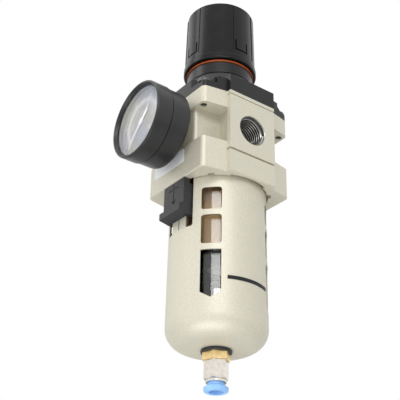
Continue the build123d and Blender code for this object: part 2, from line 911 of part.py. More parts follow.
# Valve guide: a vented plug whose tube carries the filter element
with BuildPart() as valve_guide:
    disc(guide_bore_radius - thread_gap, cavity_top, guide_top)
    disc(guide_flange_radius, guide_flange_bottom, cavity_top)
    disc(guide_tube_radius, guide_tube_bottom, guide_flange_bottom)
    pin_bore_bottom = valve_pin_bottom - valve_travel - running_gap
    disc(valve_pin_radius + valve_pin_gap, pin_bore_bottom, guide_top, Mode.SUBTRACT)
    with BuildSketch(level(guide_flange_bottom)):
        with PolarLocations(guide_hole_reach, guide_hole_count):
            Circle(guide_hole_radius)
    extrude(amount=guide_top - guide_flange_bottom, mode=Mode.SUBTRACT)
valve_guide.part.label = "valve_guide"

# Spring that closes the valve
with BuildPart() as valve_spring:
    coil(valve_spring_radius, valve_spring_wire, guide_top, valve_back, valve_spring_turns)
valve_spring.part.label = "valve_spring"

# Deflector: slots round its edge set the air spinning
with BuildPart() as deflector:
    disc(deflector_radius, deflector_bottom, guide_flange_bottom)
    deflector_bore = guide_hole_reach + guide_hole_radius + running_gap
    disc(deflector_bore, deflector_bottom, guide_flange_bottom, Mode.SUBTRACT)
    with BuildSketch(level(deflector_bottom)):
        with PolarLocations(deflector_radius - deflector_slot_length / 2, deflector_slot_count):
            Rectangle(deflector_slot_length + overcut, deflector_slot_width)
    extrude(amount=deflector_thickness, mode=Mode.SUBTRACT)
deflector.part.label = "deflector"

# Filter element: a porous tube between deflector and retainer
with BuildPart() as filter_element:
    disc(element_radius, element_bottom, deflector_bottom)
    disc(element_radius - element_wall, element_bottom, deflector_bottom, Mode.SUBTRACT)
filter_element.part.label = "filter_element"

# Retainer: a baffle with a turned-down rim and a threaded hub
with BuildPart() as element_retainer:
    retainer_rim_bottom = retainer_bottom - retainer_rim_height
    disc(retainer_radius, retainer_rim_bottom, element_bottom)
    disc(retainer_radius - retainer_thickness, retainer_rim_bottom, retainer_bottom, Mode.SUBTRACT)
    disc(retainer_nut_radius, guide_tube_bottom, retainer_bottom)
    disc(guide_tube_radius + thread_gap, guide_tube_bottom, element_bottom, Mode.SUBTRACT)
element_retainer.part.label = "element_retainer"

# Bowl guard: a deep-drawn cup with sight windows
with BuildPart() as bowl_guard:
    guard_outside = cup_section(
        guard_top_radius,
        guard_low_radius,
        guard_top,
        guard_bottom,
        guard_round,
    )
    revolve(guard_outside, axis=upright)
    guard_inside = cup_section(
        guard_top_radius - guard_wall,
        guard_low_radius - guard_wall,
        guard_top,
        guard_floor,
        guard_round - guard_wall,
    )
    revolve(guard_inside, axis=upright, mode=Mode.SUBTRACT)
    disc(bowl_neck_radius + guard_hole_gap, guard_bottom, guard_floor, Mode.SUBTRACT)

    # Bayonet lugs
    for lug_centre in lug_centres:
        with BuildSketch(half_section(lug_centre - lug_angle / 2)):
            with Locations((guard_top_radius + (lug_reach - lug_root) / 2, guard_top - lug_height / 2)):
                Rectangle(lug_reach + lug_root, lug_height)
        revolve(axis=upright, revolution_arc=lug_angle)

    # Sight windows, the lowest with a pointed foot
    for window_angle in window_angles:
        with BuildSketch(around(window_angle, bowl_radius)):
            for window_top, window_bottom in (
                (upper_window_top, upper_window_bottom),
                (middle_window_top, middle_window_bottom),
            ):
                with Locations((0, (window_top + window_bottom) / 2)):
                    RectangleRounded(window_width, window_top - window_bottom, window_round)
            with BuildLine():
                Polyline(
                    (-window_width / 2, lower_window_top),
                    (window_width / 2, lower_window_top),
                    (window_width / 2, lower_window_bottom),
                    (0, lower_window_bottom - window_point_drop),
                    (-window_width / 2, lower_window_bottom),
                    close=True,
                )
            make_face()
        extrude(amount=guard_low_radius - bowl_radius + overcut, mode=Mode.SUBTRACT)

    # Flat pad and the two guide slots for the lock button
    slot_middle = (slot_top + slot_bottom) / 2
    slot_length = slot_top - slot_bottom
    with BuildSketch(facing_front(pad_face)):
        with Locations((0, slot_middle)):
            Rectangle(pad_width + 2 * slot_width, slot_length)
    extrude(amount=guard_low_radius - pad_face + overcut, mode=Mode.SUBTRACT)
    with BuildSketch(facing_front(0)):
        with Locations(
            (-(pad_width + slot_width) / 2, slot_middle),
            ((pad_width + slot_width) / 2, slot_middle),
        ):
            RectangleRounded(slot_width, slot_length, slot_round)
    extrude(amount=guard_low_radius + overcut, mode=Mode.SUBTRACT)

    # Tab that carries the lock spring
    with BuildSketch(facing_front(pad_face - guard_wall / 2)):
        with Locations((0, spring_tab_top - spring_tab_height / 2)):
            Rectangle(spring_pocket_width - 2 * running_gap, spring_tab_height)
    extrude(amount=guard_wall / 2 + spring_pocket_depth)
bowl_guard.part.label = "bowl_guard"

# Lock button with two guide legs and a thumb ledge
ledge_top = button_bottom + button_ledge_height
ledge_front = front_reach + button_ledge_reach
with BuildPart() as lock_button:
    with BuildSketch(Plane(origin=(axis_x, 0, 0), x_dir=(0, 1, 0), z_dir=(1, 0, 0))):
        with BuildLine():
            Polyline(
                (-button_back, button_top),
                (-front_reach, button_top),
                (-front_reach, ledge_top),
                (-ledge_front, ledge_top - button_ledge_bevel),
                (-ledge_front, button_bottom + button_ledge_bevel),
                (-button_back, button_bottom),
                close=True,
            )
        make_face()
    extrude(amount=button_width / 2, both=True)
    leg_middle = (button_width - leg_thickness) / 2
    guard_bore = guard_top_radius - guard_wall
    leg_reach = sqrt(guard_bore**2 - (leg_middle - leg_thickness / 2) ** 2) - running_gap - leg_foot
    with BuildSketch(facing_front(leg_reach)):
        with Locations(
            (-leg_middle, (slot_top - button_travel + button_bottom) / 2),
            (leg_middle, (slot_top - button_travel + button_bottom) / 2),
        ):
            Rectangle(leg_thickness, slot_top - button_travel - button_bottom)
    extrude(amount=button_back - leg_reach + leg_foot)
    pocket_bottom = spring_tab_top - spring_tab_height - running_gap
    pocket_top = spring_tab_top + lock_spring_length
    with BuildSketch(facing_front(button_back)):
        with Locations((0, (pocket_top + pocket_bottom) / 2)):
            Rectangle(spring_pocket_width, pocket_top - pocket_bottom)
    extrude(amount=spring_pocket_depth, mode=Mode.SUBTRACT)
lock_button.part.label = "lock_button"

# Spring that lifts the lock button
with BuildPart() as lock_spring:
    coil(
        lock_spring_radius,
        lock_spring_wire,
        spring_tab_top,
        spring_tab_top + lock_spring_length,
        lock_spring_turns,
        reach=button_back + lock_spring_depth,
    )
lock_spring.part.label = "lock_spring"

# Bowl: a clear cup with a sealed rim and a necked foot
bowl_seal_level = bowl_top - bowl_seal_drop
with BuildPart() as bowl:
    bowl_outside = cup_section(
        bowl_radius,
        bowl_radius,
        bowl_top,
        guard_floor,
        guard_round - guard_wall,
    )
    revolve(bowl_outside, axis=upright)
    disc(bowl_rim_radius, bowl_top - bowl_rim_height, bowl_top)
    bowl_inside = cup_section(
        bowl_radius - bowl_wall,
        bowl_radius - bowl_wall,
        bowl_top,
        drain_floor,
        guard_round - guard_wall - bowl_wall,
    )
    revolve(bowl_inside, axis=upright, mode=Mode.SUBTRACT)
    disc(bowl_neck_radius, guard_bottom, drain_floor)
    disc(drain_thread_radius + thread_gap, guard_bottom, drain_floor, Mode.SUBTRACT)
    with BuildSketch(section):
        with Locations((bowl_rim_radius, bowl_seal_level)):
            Rectangle(2 * bowl_seal_depth, bowl_seal_height)
    revolve(axis=upright, mode=Mode.SUBTRACT)
bowl.part.label = "bowl"

# Seal ring in the rim's groove
bowl_seal_outer = bowl_rim_radius + running_gap - seal_gap
bowl_seal_inner = bowl_rim_radius - bowl_seal_depth
with BuildPart() as bowl_seal:
    with BuildSketch(section):
        with Locations(((bowl_seal_outer + bowl_seal_inner) / 2, bowl_seal_level)):
            Circle((bowl_seal_outer - bowl_seal_inner) / 2)
    revolve(axis=upright)
bowl_seal.part.label = "bowl_seal"

# Drain guide: flange on the bowl's floor, stalk for the float, thread through the foot
float_bottom = drain_flange_top + running_gap
with BuildPart() as drain_guide:
    drain_stalk_top = float_bottom + float_height + float_travel + drain_stalk_end
    disc(drain_thread_radius, drain_nut_bottom, drain_floor)
    disc(drain_flange_radius, drain_floor, drain_flange_top)
    disc(drain_stalk_radius, drain_flange_top, drain_stalk_top)
    disc(drain_bore_radius, drain_nut_bottom, drain_stalk_top, Mode.SUBTRACT)
    disc(
        fitting_spigot_radius + thread_gap,
        drain_nut_bottom,
        drain_nut_bottom + fitting_spigot_height,
        Mode.SUBTRACT,
    )
drain_guide.part.label = "drain_guide"

# Float that opens the drain when water lifts it
with BuildPart() as drain_float:
    disc(float_radius, float_bottom, float_bottom + float_height)
    float_rims = drain_float.edges().filter_by(GeomType.CIRCLE)
    chamfer(float_rims, float_bevel)
    disc(drain_stalk_radius + running_gap, float_bottom, float_bottom + float_height, Mode.SUBTRACT)
drain_float.part.label = "drain_float"

# Sealing washer and clamping nut below the guard
with BuildPart() as drain_washer:
    disc(drain_washer_radius, drain_washer_bottom, guard_bottom)
    washer_rims = drain_washer.edges().filter_by(GeomType.CIRCLE)
    fillet(washer_rims, drain_washer_round)
    disc(drain_thread_radius + thread_gap, drain_washer_bottom, guard_bottom, Mode.SUBTRACT)
drain_washer.part.label = "drain_washer"

with BuildPart() as drain_nut:
    with BuildSketch(level(drain_nut_bottom)):
        RegularPolygon(drain_nut_across_flats / 2, 6, major_radius=False, rotation=hexagon_turn)
    extrude(amount=drain_nut_height)
    turn_down_hexagon(drain_nut_across_flats, drain_nut_bottom, drain_washer_bottom)
    disc(drain_thread_radius + thread_gap, drain_nut_bottom, drain_washer_bottom, Mode.SUBTRACT)
drain_nut.part.label = "drain_nut"

# Push-in fitting: hexagon, lip, and a socket for the drain tube
with BuildPart() as drain_fitting:
    with BuildSketch(level(fitting_bottom)):
        RegularPolygon(fitting_across_flats / 2, 6, major_radius=False, rotation=hexagon_turn)
    extrude(amount=fitting_height)
    turn_down_hexagon(fitting_across_flats, fitting_bottom, drain_nut_bottom)
    disc(fitting_lip_radius, lip_bottom, fitting_bottom)
    disc(fitting_spigot_radius, drain_nut_bottom, drain_nut_bottom + fitting_spigot_height)
    disc(drain_bore_radius, tube_stop, drain_nut_bottom + fitting_spigot_height, Mode.SUBTRACT)
    disc(tube_radius, lip_bottom, tube_stop, Mode.SUBTRACT)
    disc(socket_radius, lip_bottom, socket_top, Mode.SUBTRACT)
drain_fitting.part.label = "drain_fitting"

# Seal and grab ring inside the fitting's socket
with BuildPart() as tube_seal:
    disc(socket_radius - snug_gap, tube_seal_bottom, socket_top)
    disc(tube_radius, tube_seal_bottom, socket_top, Mode.SUBTRACT)
tube_seal.part.label = "tube_seal"

with BuildPart() as grab_ring:
    disc(socket_radius - snug_gap, tube_seal_bottom - grab_ring_height, tube_seal_bottom)
    disc(tube_radius, tube_seal_bottom - grab_ring_height, tube_seal_bottom, Mode.SUBTRACT)
grab_ring.part.label = "grab_ring"

# Release ring that is pushed in to free the tube
release_top = lip_bottom - release_travel - running_gap
release_cone_bottom = release_top - release_cone_height
release_bottom = release_cone_bottom - release_flange_height
sleeve_radius = socket_radius - running_gap
with BuildPart() as release_ring:
    with BuildSketch(section) as release_outline:
        with BuildLine():
            Polyline(
                (release_hole_radius, release_bottom),
                (release_flange_radius, release_bottom),
                (release_flange_radius, release_cone_bottom),
                (sleeve_radius, release_top),
                (sleeve_radius, lip_bottom + release_sleeve_height),
                (release_hole_radius, lip_bottom + release_sleeve_height),
                close=True,
            )
        make_face()
        release_corner = release_outline.vertices().group_by(Axis.Y)[0].sort_by(Axis.X)[-1]
        fillet(release_corner, release_flange_round)
    revolve(axis=upright)
release_ring.part.label = "release_ring"

# Gauge case: a cup with a hole for the stem, a seam and a spigot that carries the dial
with BuildPart() as gauge_case:
    gauge_case_radius = gauge_radius - gauge_case_step
    seam_back = case_front - seam_width
    gauge_disc(gauge_case_radius, gauge_back, seam_back)
    case_back = gauge_case.faces().sort_by(Axis.Y)[-1]
    fillet(case_back.edges(), gauge_case_round)
    gauge_disc(gauge_case_radius - seam_depth, seam_back, case_front)
    gauge_disc(dial_radius, case_front, dial_back)
    case_floor = gauge_back + gauge_case_wall
    case_rim_back = case_front - case_rim_length
    gauge_disc(gauge_case_radius - gauge_case_wall, case_floor, case_rim_back, Mode.SUBTRACT)
    gauge_disc(dial_radius - case_spigot_wall, case_rim_back, dial_back, Mode.SUBTRACT)
    gauge_disc(stem_spigot_radius + thread_gap, gauge_back, case_floor, Mode.SUBTRACT)
gauge_case.part.label = "gauge_case"

# Bezel, pushed over the case's spigot; its sloping lip holds the lens
with BuildPart() as gauge_bezel:
    gauge_disc(gauge_radius, case_front, gauge_front)
    front_rim = gauge_bezel.faces().sort_by(Axis.Y)[0]
    fillet(front_rim.edges(), bezel_round)
    with BuildSketch(Plane(origin=(axis_x, 0, 0), x_dir=(0, -1, 0), z_dir=(1, 0, 0))):
        with BuildLine():
            Polyline(
                (lens_front, 0),
                (lens_front, bezel_opening_radius),
                (gauge_front, bezel_opening_radius + bezel_lip_slope),
                (gauge_front, 0),
                close=True,
            )
        make_face()
    revolve(axis=gauge_axis, mode=Mode.SUBTRACT)
    gauge_disc(dial_radius + thread_gap, case_front, lens_front, Mode.SUBTRACT)
gauge_bezel.part.label = "gauge_bezel"

with BuildPart() as gauge_lens:
    gauge_disc(dial_radius, lens_back, lens_front)
gauge_lens.part.label = "gauge_lens"

with BuildPart() as gauge_dial:
    gauge_disc(dial_radius, dial_back, dial_face)
    gauge_disc(pointer_shaft_radius + running_gap, dial_back, dial_face, Mode.SUBTRACT)
gauge_dial.part.label = "gauge_dial"

# Spacer ring between dial and lens
with BuildPart() as dial_ring:
    gauge_disc(dial_radius, dial_face, lens_back)
    gauge_disc(bezel_opening_radius, dial_face, lens_back, Mode.SUBTRACT)
dial_ring.part.label = "dial_ring"

# Pointer with its hub, cap and shaft
pointer_back = dial_face + pointer_gap
with BuildPart() as gauge_pointer:
    with BuildSketch(facing_front(pointer_back)):
        Circle(pointer_hub_radius)
        with BuildLine(Plane.XY.rotated((0, 0, pointer_zero))):
            Polyline(
                (-pointer_tail, -pointer_tail_width / 2),
                (-pointer_tail, pointer_tail_width / 2),
                (0, pointer_hub_width / 2),
                (pointer_tip, pointer_tip_width / 2),
                (pointer_tip, -pointer_tip_width / 2),
                (0, -pointer_hub_width / 2),
                close=True,
            )
        make_face()
    extrude(amount=pointer_thickness)
    gauge_disc(pointer_cap_radius, pointer_back, pointer_back + 2 * pointer_thickness)
    gauge_disc(pointer_shaft_radius, pointer_back - pointer_shaft_length, pointer_back)
gauge_pointer.part.label = "gauge_pointer"

# Brass stem: hexagon, thread into the casting and spigot into the case
stem_thread_end = waist_front_reach - stem_thread_length
spigot_front = gauge_back + stem_spigot_length
with BuildPart() as gauge_stem:
    with BuildSketch(facing_front(waist_front_reach)):
        RegularPolygon(stem_across_flats / 2, 6, major_radius=False)
    extrude(amount=gauge_back - waist_front_reach)
    gauge_disc(gauge_port_radius - thread_gap, stem_thread_end, waist_front_reach)
    gauge_disc(stem_spigot_radius, gauge_back, spigot_front)
    gauge_disc(gauge_duct_radius, stem_thread_end, spigot_front - stem_spigot_end, Mode.SUBTRACT)
gauge_stem.part.label = "gauge_stem"

# Plug with a hexagonal socket in the rear gauge port
with BuildPart() as rear_plug:
    with BuildSketch(facing_rear(waist_front_reach)):
        Circle(gauge_port_radius - thread_gap)
    extrude(amount=-stem_thread_length)
    with BuildSketch(facing_rear(waist_front_reach)):
        RegularPolygon(plug_socket_across_flats / 2, 6, major_radius=False)
    extrude(amount=-plug_socket_depth, mode=Mode.SUBTRACT)
rear_plug.part.label = "rear_plug"

# One file for each piece
os.makedirs("parts", exist_ok=True)
for piece in (
    body_casting,
    diaphragm,
    bonnet,
    bonnet_screws,
    colour_band,
    knob,
    adjusting_screw,
    spring_seat,
    diaphragm_plate,
    adjusting_spring,
    relief_seat,
    valve_rod,
    valve_seal,
    valve_guide,
    valve_spring,
    deflector,
    filter_element,
    element_retainer,
    bowl_guard,
    lock_button,
    lock_spring,
    bowl,
    bowl_seal,
    drain_guide,
    drain_float,
    drain_washer,
    drain_nut,
    drain_fitting,
    tube_seal,
    grab_ring,
    release_ring,
    gauge_case,
    gauge_bezel,
    gauge_lens,
    gauge_dial,
    dial_ring,
    gauge_pointer,
    gauge_stem,
    rear_plug,
):
    export_step(piece.part, f"parts/{piece.part.label}.step")
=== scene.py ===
"""Finishes, printed marks and studio for the inline filter regulator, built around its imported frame."""

import json
from math import cos, pi, radians, sin
from typing import NamedTuple

import bpy
from bpy.props import FloatProperty, FloatVectorProperty, IntProperty, PointerProperty
from bpy.types import Operator, Panel, PropertyGroup
from mathutils import Matrix, Vector


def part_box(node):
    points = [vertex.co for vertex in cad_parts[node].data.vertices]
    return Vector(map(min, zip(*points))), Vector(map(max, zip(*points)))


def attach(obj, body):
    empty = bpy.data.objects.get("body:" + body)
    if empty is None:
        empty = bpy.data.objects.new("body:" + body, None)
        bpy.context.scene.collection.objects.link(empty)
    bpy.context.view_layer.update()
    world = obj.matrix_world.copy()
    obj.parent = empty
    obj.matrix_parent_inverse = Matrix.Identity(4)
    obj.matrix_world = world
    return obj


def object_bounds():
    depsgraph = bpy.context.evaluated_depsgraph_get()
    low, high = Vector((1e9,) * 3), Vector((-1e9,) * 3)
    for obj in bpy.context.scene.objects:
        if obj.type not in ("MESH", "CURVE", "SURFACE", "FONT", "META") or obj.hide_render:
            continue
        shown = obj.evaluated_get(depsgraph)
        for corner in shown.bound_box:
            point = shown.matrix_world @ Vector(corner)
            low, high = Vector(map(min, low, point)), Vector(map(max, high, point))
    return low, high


bl_info = {
    "name": "Filter regulator finish",
    "version": (1, 0, 0),
    "blender": (4, 5, 0),
    "location": "View3D > Sidebar > Regulator",
    "description": "Dresses the packed filter regulator and lights it in a small studio",
    "category": "Object",
}

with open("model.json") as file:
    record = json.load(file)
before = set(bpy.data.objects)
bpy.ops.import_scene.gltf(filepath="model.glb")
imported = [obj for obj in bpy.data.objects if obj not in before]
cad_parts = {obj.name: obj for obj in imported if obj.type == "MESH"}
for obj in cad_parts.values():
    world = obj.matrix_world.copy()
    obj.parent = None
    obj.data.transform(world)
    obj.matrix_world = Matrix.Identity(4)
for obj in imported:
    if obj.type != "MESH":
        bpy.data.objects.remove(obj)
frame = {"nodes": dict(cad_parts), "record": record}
cad_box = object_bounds()
mounts = {mount["name"]: mount for mount in frame["record"]["mounts"]}

MM = 0.001
MILLIMETRES_PER_METRE = 1000

# How far print stands off its surface
PRINT_DEPTH = 0.06 * MM

# How metallic the paint and the machined casting look
PAINT_METAL = 0.28
BARE_METAL = 0.9

# Edges with a sharper turn than this stay sharp
CREASE_ANGLE = radians(30)


# Reading the frame

def axis_x():
    """The upright axis of the knob, valve, bowl and drain."""
    low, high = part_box("bowl")
    return (low.x + high.x) / 2


def gauge_face():
    """The middle of the dial's printed face."""
    low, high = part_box("gauge_dial")
    return Vector(((low.x + high.x) / 2, low.y, (low.z + high.z) / 2))


def skirt_face_y():
    """The skirt's front face, with which the lock button's face is flush."""
    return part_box("body_casting")[0].y


def direction(azimuth, elevation):
    """The way from the part to a viewer or a lamp. Azimuth 0 is in front, and 90 degrees at +X."""
    return Vector((
        sin(azimuth) * cos(elevation), -cos(azimuth) * cos(elevation), sin(elevation)
    ))


# Modelling by hand

def start_piece(name):
    """Names the new primitive, which is the only selected object, and opens it for editing."""
    piece = bpy.context.object
    piece.name = name
    piece.data.name = name
    bpy.ops.object.transform_apply(location=True, rotation=True, scale=True)
    bpy.ops.object.mode_set(mode="EDIT")
    return piece


def deselect_all():
    """Leaves nothing selected, so that the next operator acts on new work alone."""
    bpy.ops.object.select_all(action="DESELECT")


def recalculate_normals():
    """Merges doubles and turns every face of the open piece outwards."""
    bpy.ops.mesh.select_all(action="SELECT")
    bpy.ops.mesh.remove_doubles(threshold=0.001 * MM)
    bpy.ops.mesh.normals_make_consistent(inside=False)


def finish_piece(piece, body, material):
    """Closes the edited piece, shades it and lets it ride on its body."""
    recalculate_normals()
    bpy.ops.object.mode_set(mode="OBJECT")
    bpy.ops.object.transform_apply(location=True, rotation=True, scale=True)
    bpy.ops.object.shade_smooth_by_angle(angle=CREASE_ANGLE)
    piece.data.materials.clear()
    piece.data.materials.append(material)
    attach(piece, body)


def copy_piece(piece, name, matrix):
    """A copy with its own mesh, moved by the matrix."""
    copy = piece.copy()
    copy.data = piece.data.copy()
    copy.name = name
    copy.data.name = name
    copy.data.transform(matrix)
    bpy.context.scene.collection.objects.link(copy)
    return copy


def apply_all_modifiers(piece):
    """Turns the piece's modifiers into real mesh."""
    for modifier in list(piece.modifiers):
        bpy.ops.object.modifier_apply(modifier=modifier.name)


# Shader building

class Amount:
    """A number that varies over a surface and takes part in sums by adding Math nodes."""

    def __init__(self, finish, socket):
        self.finish = finish
        self.socket = socket

    def combine(self, operation, first, second):
        made = self.finish.node("ShaderNodeMath", {"operation": operation}, {0: first, 1: second})
        return Amount(self.finish, made.outputs[0])

    def __add__(self, other):
        return self.combine("ADD", self, other)

    def __radd__(self, other):
        return self.combine("ADD", other, self)

    def __sub__(self, other):
        return self.combine("SUBTRACT", self, other)

    def __rsub__(self, other):
        return self.combine("SUBTRACT", other, self)

    def __mul__(self, other):
        return self.combine("MULTIPLY", self, other)

    def __rmul__(self, other):
        return self.combine("MULTIPLY", other, self)

    def __pow__(self, other):
        return self.combine("POWER", self, other)

    def __lt__(self, other):
        return self.combine("LESS_THAN", self, other)

    def __gt__(self, other):
        return self.combine("GREATER_THAN", self, other)


class NodeMaker:
    """A node tree, emptied, whose nodes are made one at a time."""

    def __init__(self, tree):
        self.tree = tree
        self.tree.nodes.clear()

    def node(self, kind, settings=None, inputs=None):
        """Makes a node, its settings first, then the values or links of its sockets."""
        made = self.tree.nodes.new(kind)
        for name, setting in (settings or {}).items():
            setattr(made, name, setting)
        for name, value in (inputs or {}).items():
            self.give(made.inputs[name], value)
        return made

    def give(self, socket, value):
        """Sets a socket, or links it where the value is another socket."""
        source = value.socket if isinstance(value, Amount) else value
        if isinstance(source, bpy.types.NodeSocket):
            self.tree.links.new(source, socket)
        else:
            socket.default_value = source


class Finish(NodeMaker):
    """A material, read in millimetres of the part's frame."""

    def __init__(self, name):
        self.material = bpy.data.materials.new(name)
        self.material.use_nodes = True
        super().__init__(self.material.node_tree)

    def place(self):
        """The surface point in the part's frame, in millimetres."""
        coordinates = self.node("ShaderNodeTexCoord").outputs["Object"]
        scaled = self.node(
            "ShaderNodeVectorMath", {"operation": "SCALE"},
            {0: coordinates, "Scale": MILLIMETRES_PER_METRE},
        )
        return scaled.outputs[0]

    def parts_of(self, place):
        """The three numbers of a point."""
        split = self.node("ShaderNodeSeparateXYZ", {}, {0: place})
        return [Amount(self, socket) for socket in split.outputs]

    def stretched(self, place, factors):
        """A point with each of its numbers multiplied."""
        made = self.node("ShaderNodeVectorMath", {"operation": "MULTIPLY"}, {0: place, 1: factors})
        return made.outputs[0]

    def noise(self, place, size, detail=2.0):
        """Soft noise from 0 to 1 with blotches of that size in millimetres."""
        made = self.node(
            "ShaderNodeTexNoise", {}, {"Vector": place, "Scale": 1 / size, "Detail": detail}
        )
        return Amount(self, made.outputs[0])

    def grains(self, place, size):
        """Distance from the nearest of many scattered points, for a granular surface."""
        made = self.node("ShaderNodeTexVoronoi", {}, {"Vector": place, "Scale": 1 / size})
        return Amount(self, made.outputs["Distance"])

    def between(self, value, low, high):
        """The value taken from the range low to high on to 0 to 1, and held there."""
        made = self.node(
            "ShaderNodeMapRange", {"clamp": True},
            {"Value": value, "From Min": low, "From Max": high},
        )
        return Amount(self, made.outputs[0])

    def mix(self, share, first, second):
        """A colour between two others."""
        made = self.node(
            "ShaderNodeMix", {"data_type": "RGBA"},
            {0: share, 6: with_alpha(first), 7: with_alpha(second)},
        )
        return made.outputs[2]

    def bump(self, height, depth):
        """A normal disturbed by a height whose full range is that deep, in millimetres."""
        inputs = {"Height": height, "Strength": 1.0, "Distance": depth * MM}
        return self.node("ShaderNodeBump", {}, inputs).outputs[0]

    def surface(self, inputs):
        """Ends the material in one Principled shader."""
        shader = self.node("ShaderNodeBsdfPrincipled", {}, inputs)
        self.node("ShaderNodeOutputMaterial", {}, {"Surface": shader.outputs[0]})
        return self.material


def with_alpha(colour):
    """Three numbers as an opaque colour, and a socket as it is."""
    if isinstance(colour, bpy.types.NodeSocket):
        return colour
    return (*colour, 1.0)


def darker(colour, factor):
    """The colour multiplied by a number."""
    return tuple(channel * factor for channel in colour)


# Finishes

def painted_metal(finish, place, colour):
    """Platinum paint: satin, with a fine sparkle and a little orange peel."""
    sparkle = finish.noise(place, size=0.7, detail=2.0)
    drift = finish.noise(place, size=14.0)
    peel = finish.noise(place, size=1.1)
    tone = finish.mix(finish.between(sparkle, 0.3, 0.7), darker(colour, 0.87), darker(colour, 1.07))
    tone = finish.mix(finish.between(drift, 0.3, 0.7) * 0.35, tone, darker(colour, 0.94))
    return tone, 0.4 + sparkle * 0.14, peel * 0.7 + sparkle * 0.3


def casting_paint(name, colour, bare):
    """The casting's paint, with its two ports machined bare."""
    finish = Finish(name)
    place = finish.place()
    tone, rough, height = painted_metal(finish, place, colour)
    across, up = finish.parts_of(place)[1:]
    reach = (across * across + up * up) ** 0.5

    # Machined this many millimetres past the bore
    machined_rim = 0.5
    inside = reach < mounts["inlet_port"]["dims"]["r_mm"] + machined_rim
    rings = finish.noise(finish.stretched(place, (3.0, 0.1, 0.1)), size=1.0)
    return finish.surface({
        "Base Color": finish.mix(inside, tone, finish.mix(rings, darker(bare, 0.6), bare)),
        "Metallic": PAINT_METAL + inside * (BARE_METAL - PAINT_METAL),
        "Roughness": rough * (1 - inside) + inside * (0.28 + rings * 0.12),
        "Normal": finish.bump(height, depth=0.006),
    })


def guard_paint(name, colour, inner):
    """The guard's paint, with painted shade: near black on its inner side above the foot, where shade
    falls.
    """
    finish = Finish(name)
    place = finish.place()
    tone, rough, height = painted_metal(finish, place, colour)
    along, across, up = finish.parts_of(place)
    along = along - axis_x() * MILLIMETRES_PER_METRE
    reach = (across * across + along * along) ** 0.5
    low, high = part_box("bowl_guard")

    # Millimetres from the outside, and up from the foot, that the beige paint covers; the rest of the
    # inner side takes painted shade
    painted_skin = 1.0
    painted_foot = 24.0
    inside = reach < (high.x - low.x) / 2 * MILLIMETRES_PER_METRE - painted_skin
    # Painted shade: the inner side above the foot turns near black, where shade falls inside the guard
    painted_shade_share = inside * (up > low.z * MILLIMETRES_PER_METRE + painted_foot)
    return finish.surface({
        "Base Color": finish.mix(painted_shade_share, tone, inner),
        "Metallic": PAINT_METAL,
        "Roughness": rough,
        "Normal": finish.bump(height, depth=0.006),
    })


def moulded_plastic(name, colour, rough, gloss=0.5, grain=0.004):
    """Moulded plastic: slightly mottled, with uneven gloss and a fine moulding grain."""
    finish = Finish(name)
    mottle = 0.12
    place = finish.place()
    texture = finish.noise(place, size=0.25, detail=3.0)
    cloud = finish.noise(place, size=9.0)
    tone = finish.mix(
        finish.between(cloud, 0.3, 0.7), darker(colour, 1 - mottle), darker(colour, 1 + mottle)
    )
    return finish.surface({
        "Base Color": tone,
        "Roughness": rough + (cloud - 0.5) * 0.12 + (texture - 0.5) * 0.08,
        "Specular IOR Level": gloss,
        "Normal": finish.bump(texture, depth=grain),
    })


def turned_metal(name, colour, rough, stretch):
    """Machined metal: fine tool marks drawn out along one direction and slight tarnish."""
    finish = Finish(name)
    groove = 0.002
    place = finish.place()
    marks = finish.noise(finish.stretched(place, stretch), size=0.4, detail=3.0)
    tarnish = finish.noise(place, size=2.5)
    tone = finish.mix(
        finish.between(tarnish, 0.35, 0.75), darker(colour, 1.03), darker(colour, 0.82)
    )
    return finish.surface({
        "Base Color": tone,
        "Metallic": 1.0,
        "Roughness": rough + marks * 0.12 + tarnish * 0.06,
        "Normal": finish.bump(marks, depth=groove),
    })


def thread_metal(name, colour, root_radius, depth):
    """Cut thread with painted shade: near black towards the roots, where shade falls, bright on the
    crests.
    """
    finish = Finish(name)
    place = finish.place()
    across, up = finish.parts_of(place)[1:]
    reach = (across * across + up * up) ** 0.5
    # Painted shade: from crest to root the colour falls to 8 percent of the metal's
    painted_root_shade = finish.between(reach, root_radius - depth, root_radius)
    marks = finish.noise(finish.stretched(place, (2.0, 0.3, 0.3)), size=1.0, detail=2.0)
    return finish.surface({
        "Base Color": finish.mix(painted_root_shade, colour, darker(colour, 0.08)),
        "Metallic": 1.0,
        "Roughness": 0.24 + marks * 0.12,
        "Normal": finish.bump(marks, depth=0.002),
    })


def seal_rubber(name, colour):
    """Moulded rubber, dark and slightly bloomed."""
    finish = Finish(name)
    place = finish.place()
    bloom = finish.noise(place, size=3.0)
    return finish.surface({
        "Base Color": finish.mix(bloom, colour, darker(colour, 1.8)),
        "Roughness": 0.35 + bloom * 0.25,
        "Normal": finish.bump(finish.noise(place, size=0.5), depth=0.004),
    })


def clear_plastic(name, colour, rough, share=1.0, flow_depth=0.01):
    """Clear moulded plastic with faint flow lines. Below a full share, light also passes unbent."""
    finish = Finish(name)
    place = finish.place()
    flow = finish.noise(finish.stretched(place, (1.0, 1.0, 0.25)), size=6.0)
    return finish.surface({
        "Base Color": finish.mix(flow, colour, darker(colour, 0.97)),
        "Roughness": rough + flow * 0.03,
        "Transmission Weight": 1.0,
        "Specular IOR Level": 0.35,
        "IOR": 1.5,
        "Alpha": share,
        "Normal": finish.bump(flow, depth=flow_depth),
    })


def porous_plastic(name, colour):
    """Sintered filter plastic, made of small fused grains."""
    finish = Finish(name)
    place = finish.place()
    grain = finish.grains(place, size=0.45)
    stain = finish.noise(place, size=6.0)
    tone = finish.mix(grain, darker(colour, 1.05), darker(colour, 0.62))
    tone = finish.mix(finish.between(stain, 0.4, 0.7) * 0.4, tone, darker(colour, 0.8))
    return finish.surface({
        "Base Color": tone,
        "Roughness": 0.85,
        "Normal": finish.bump(grain, depth=-0.12),
    })


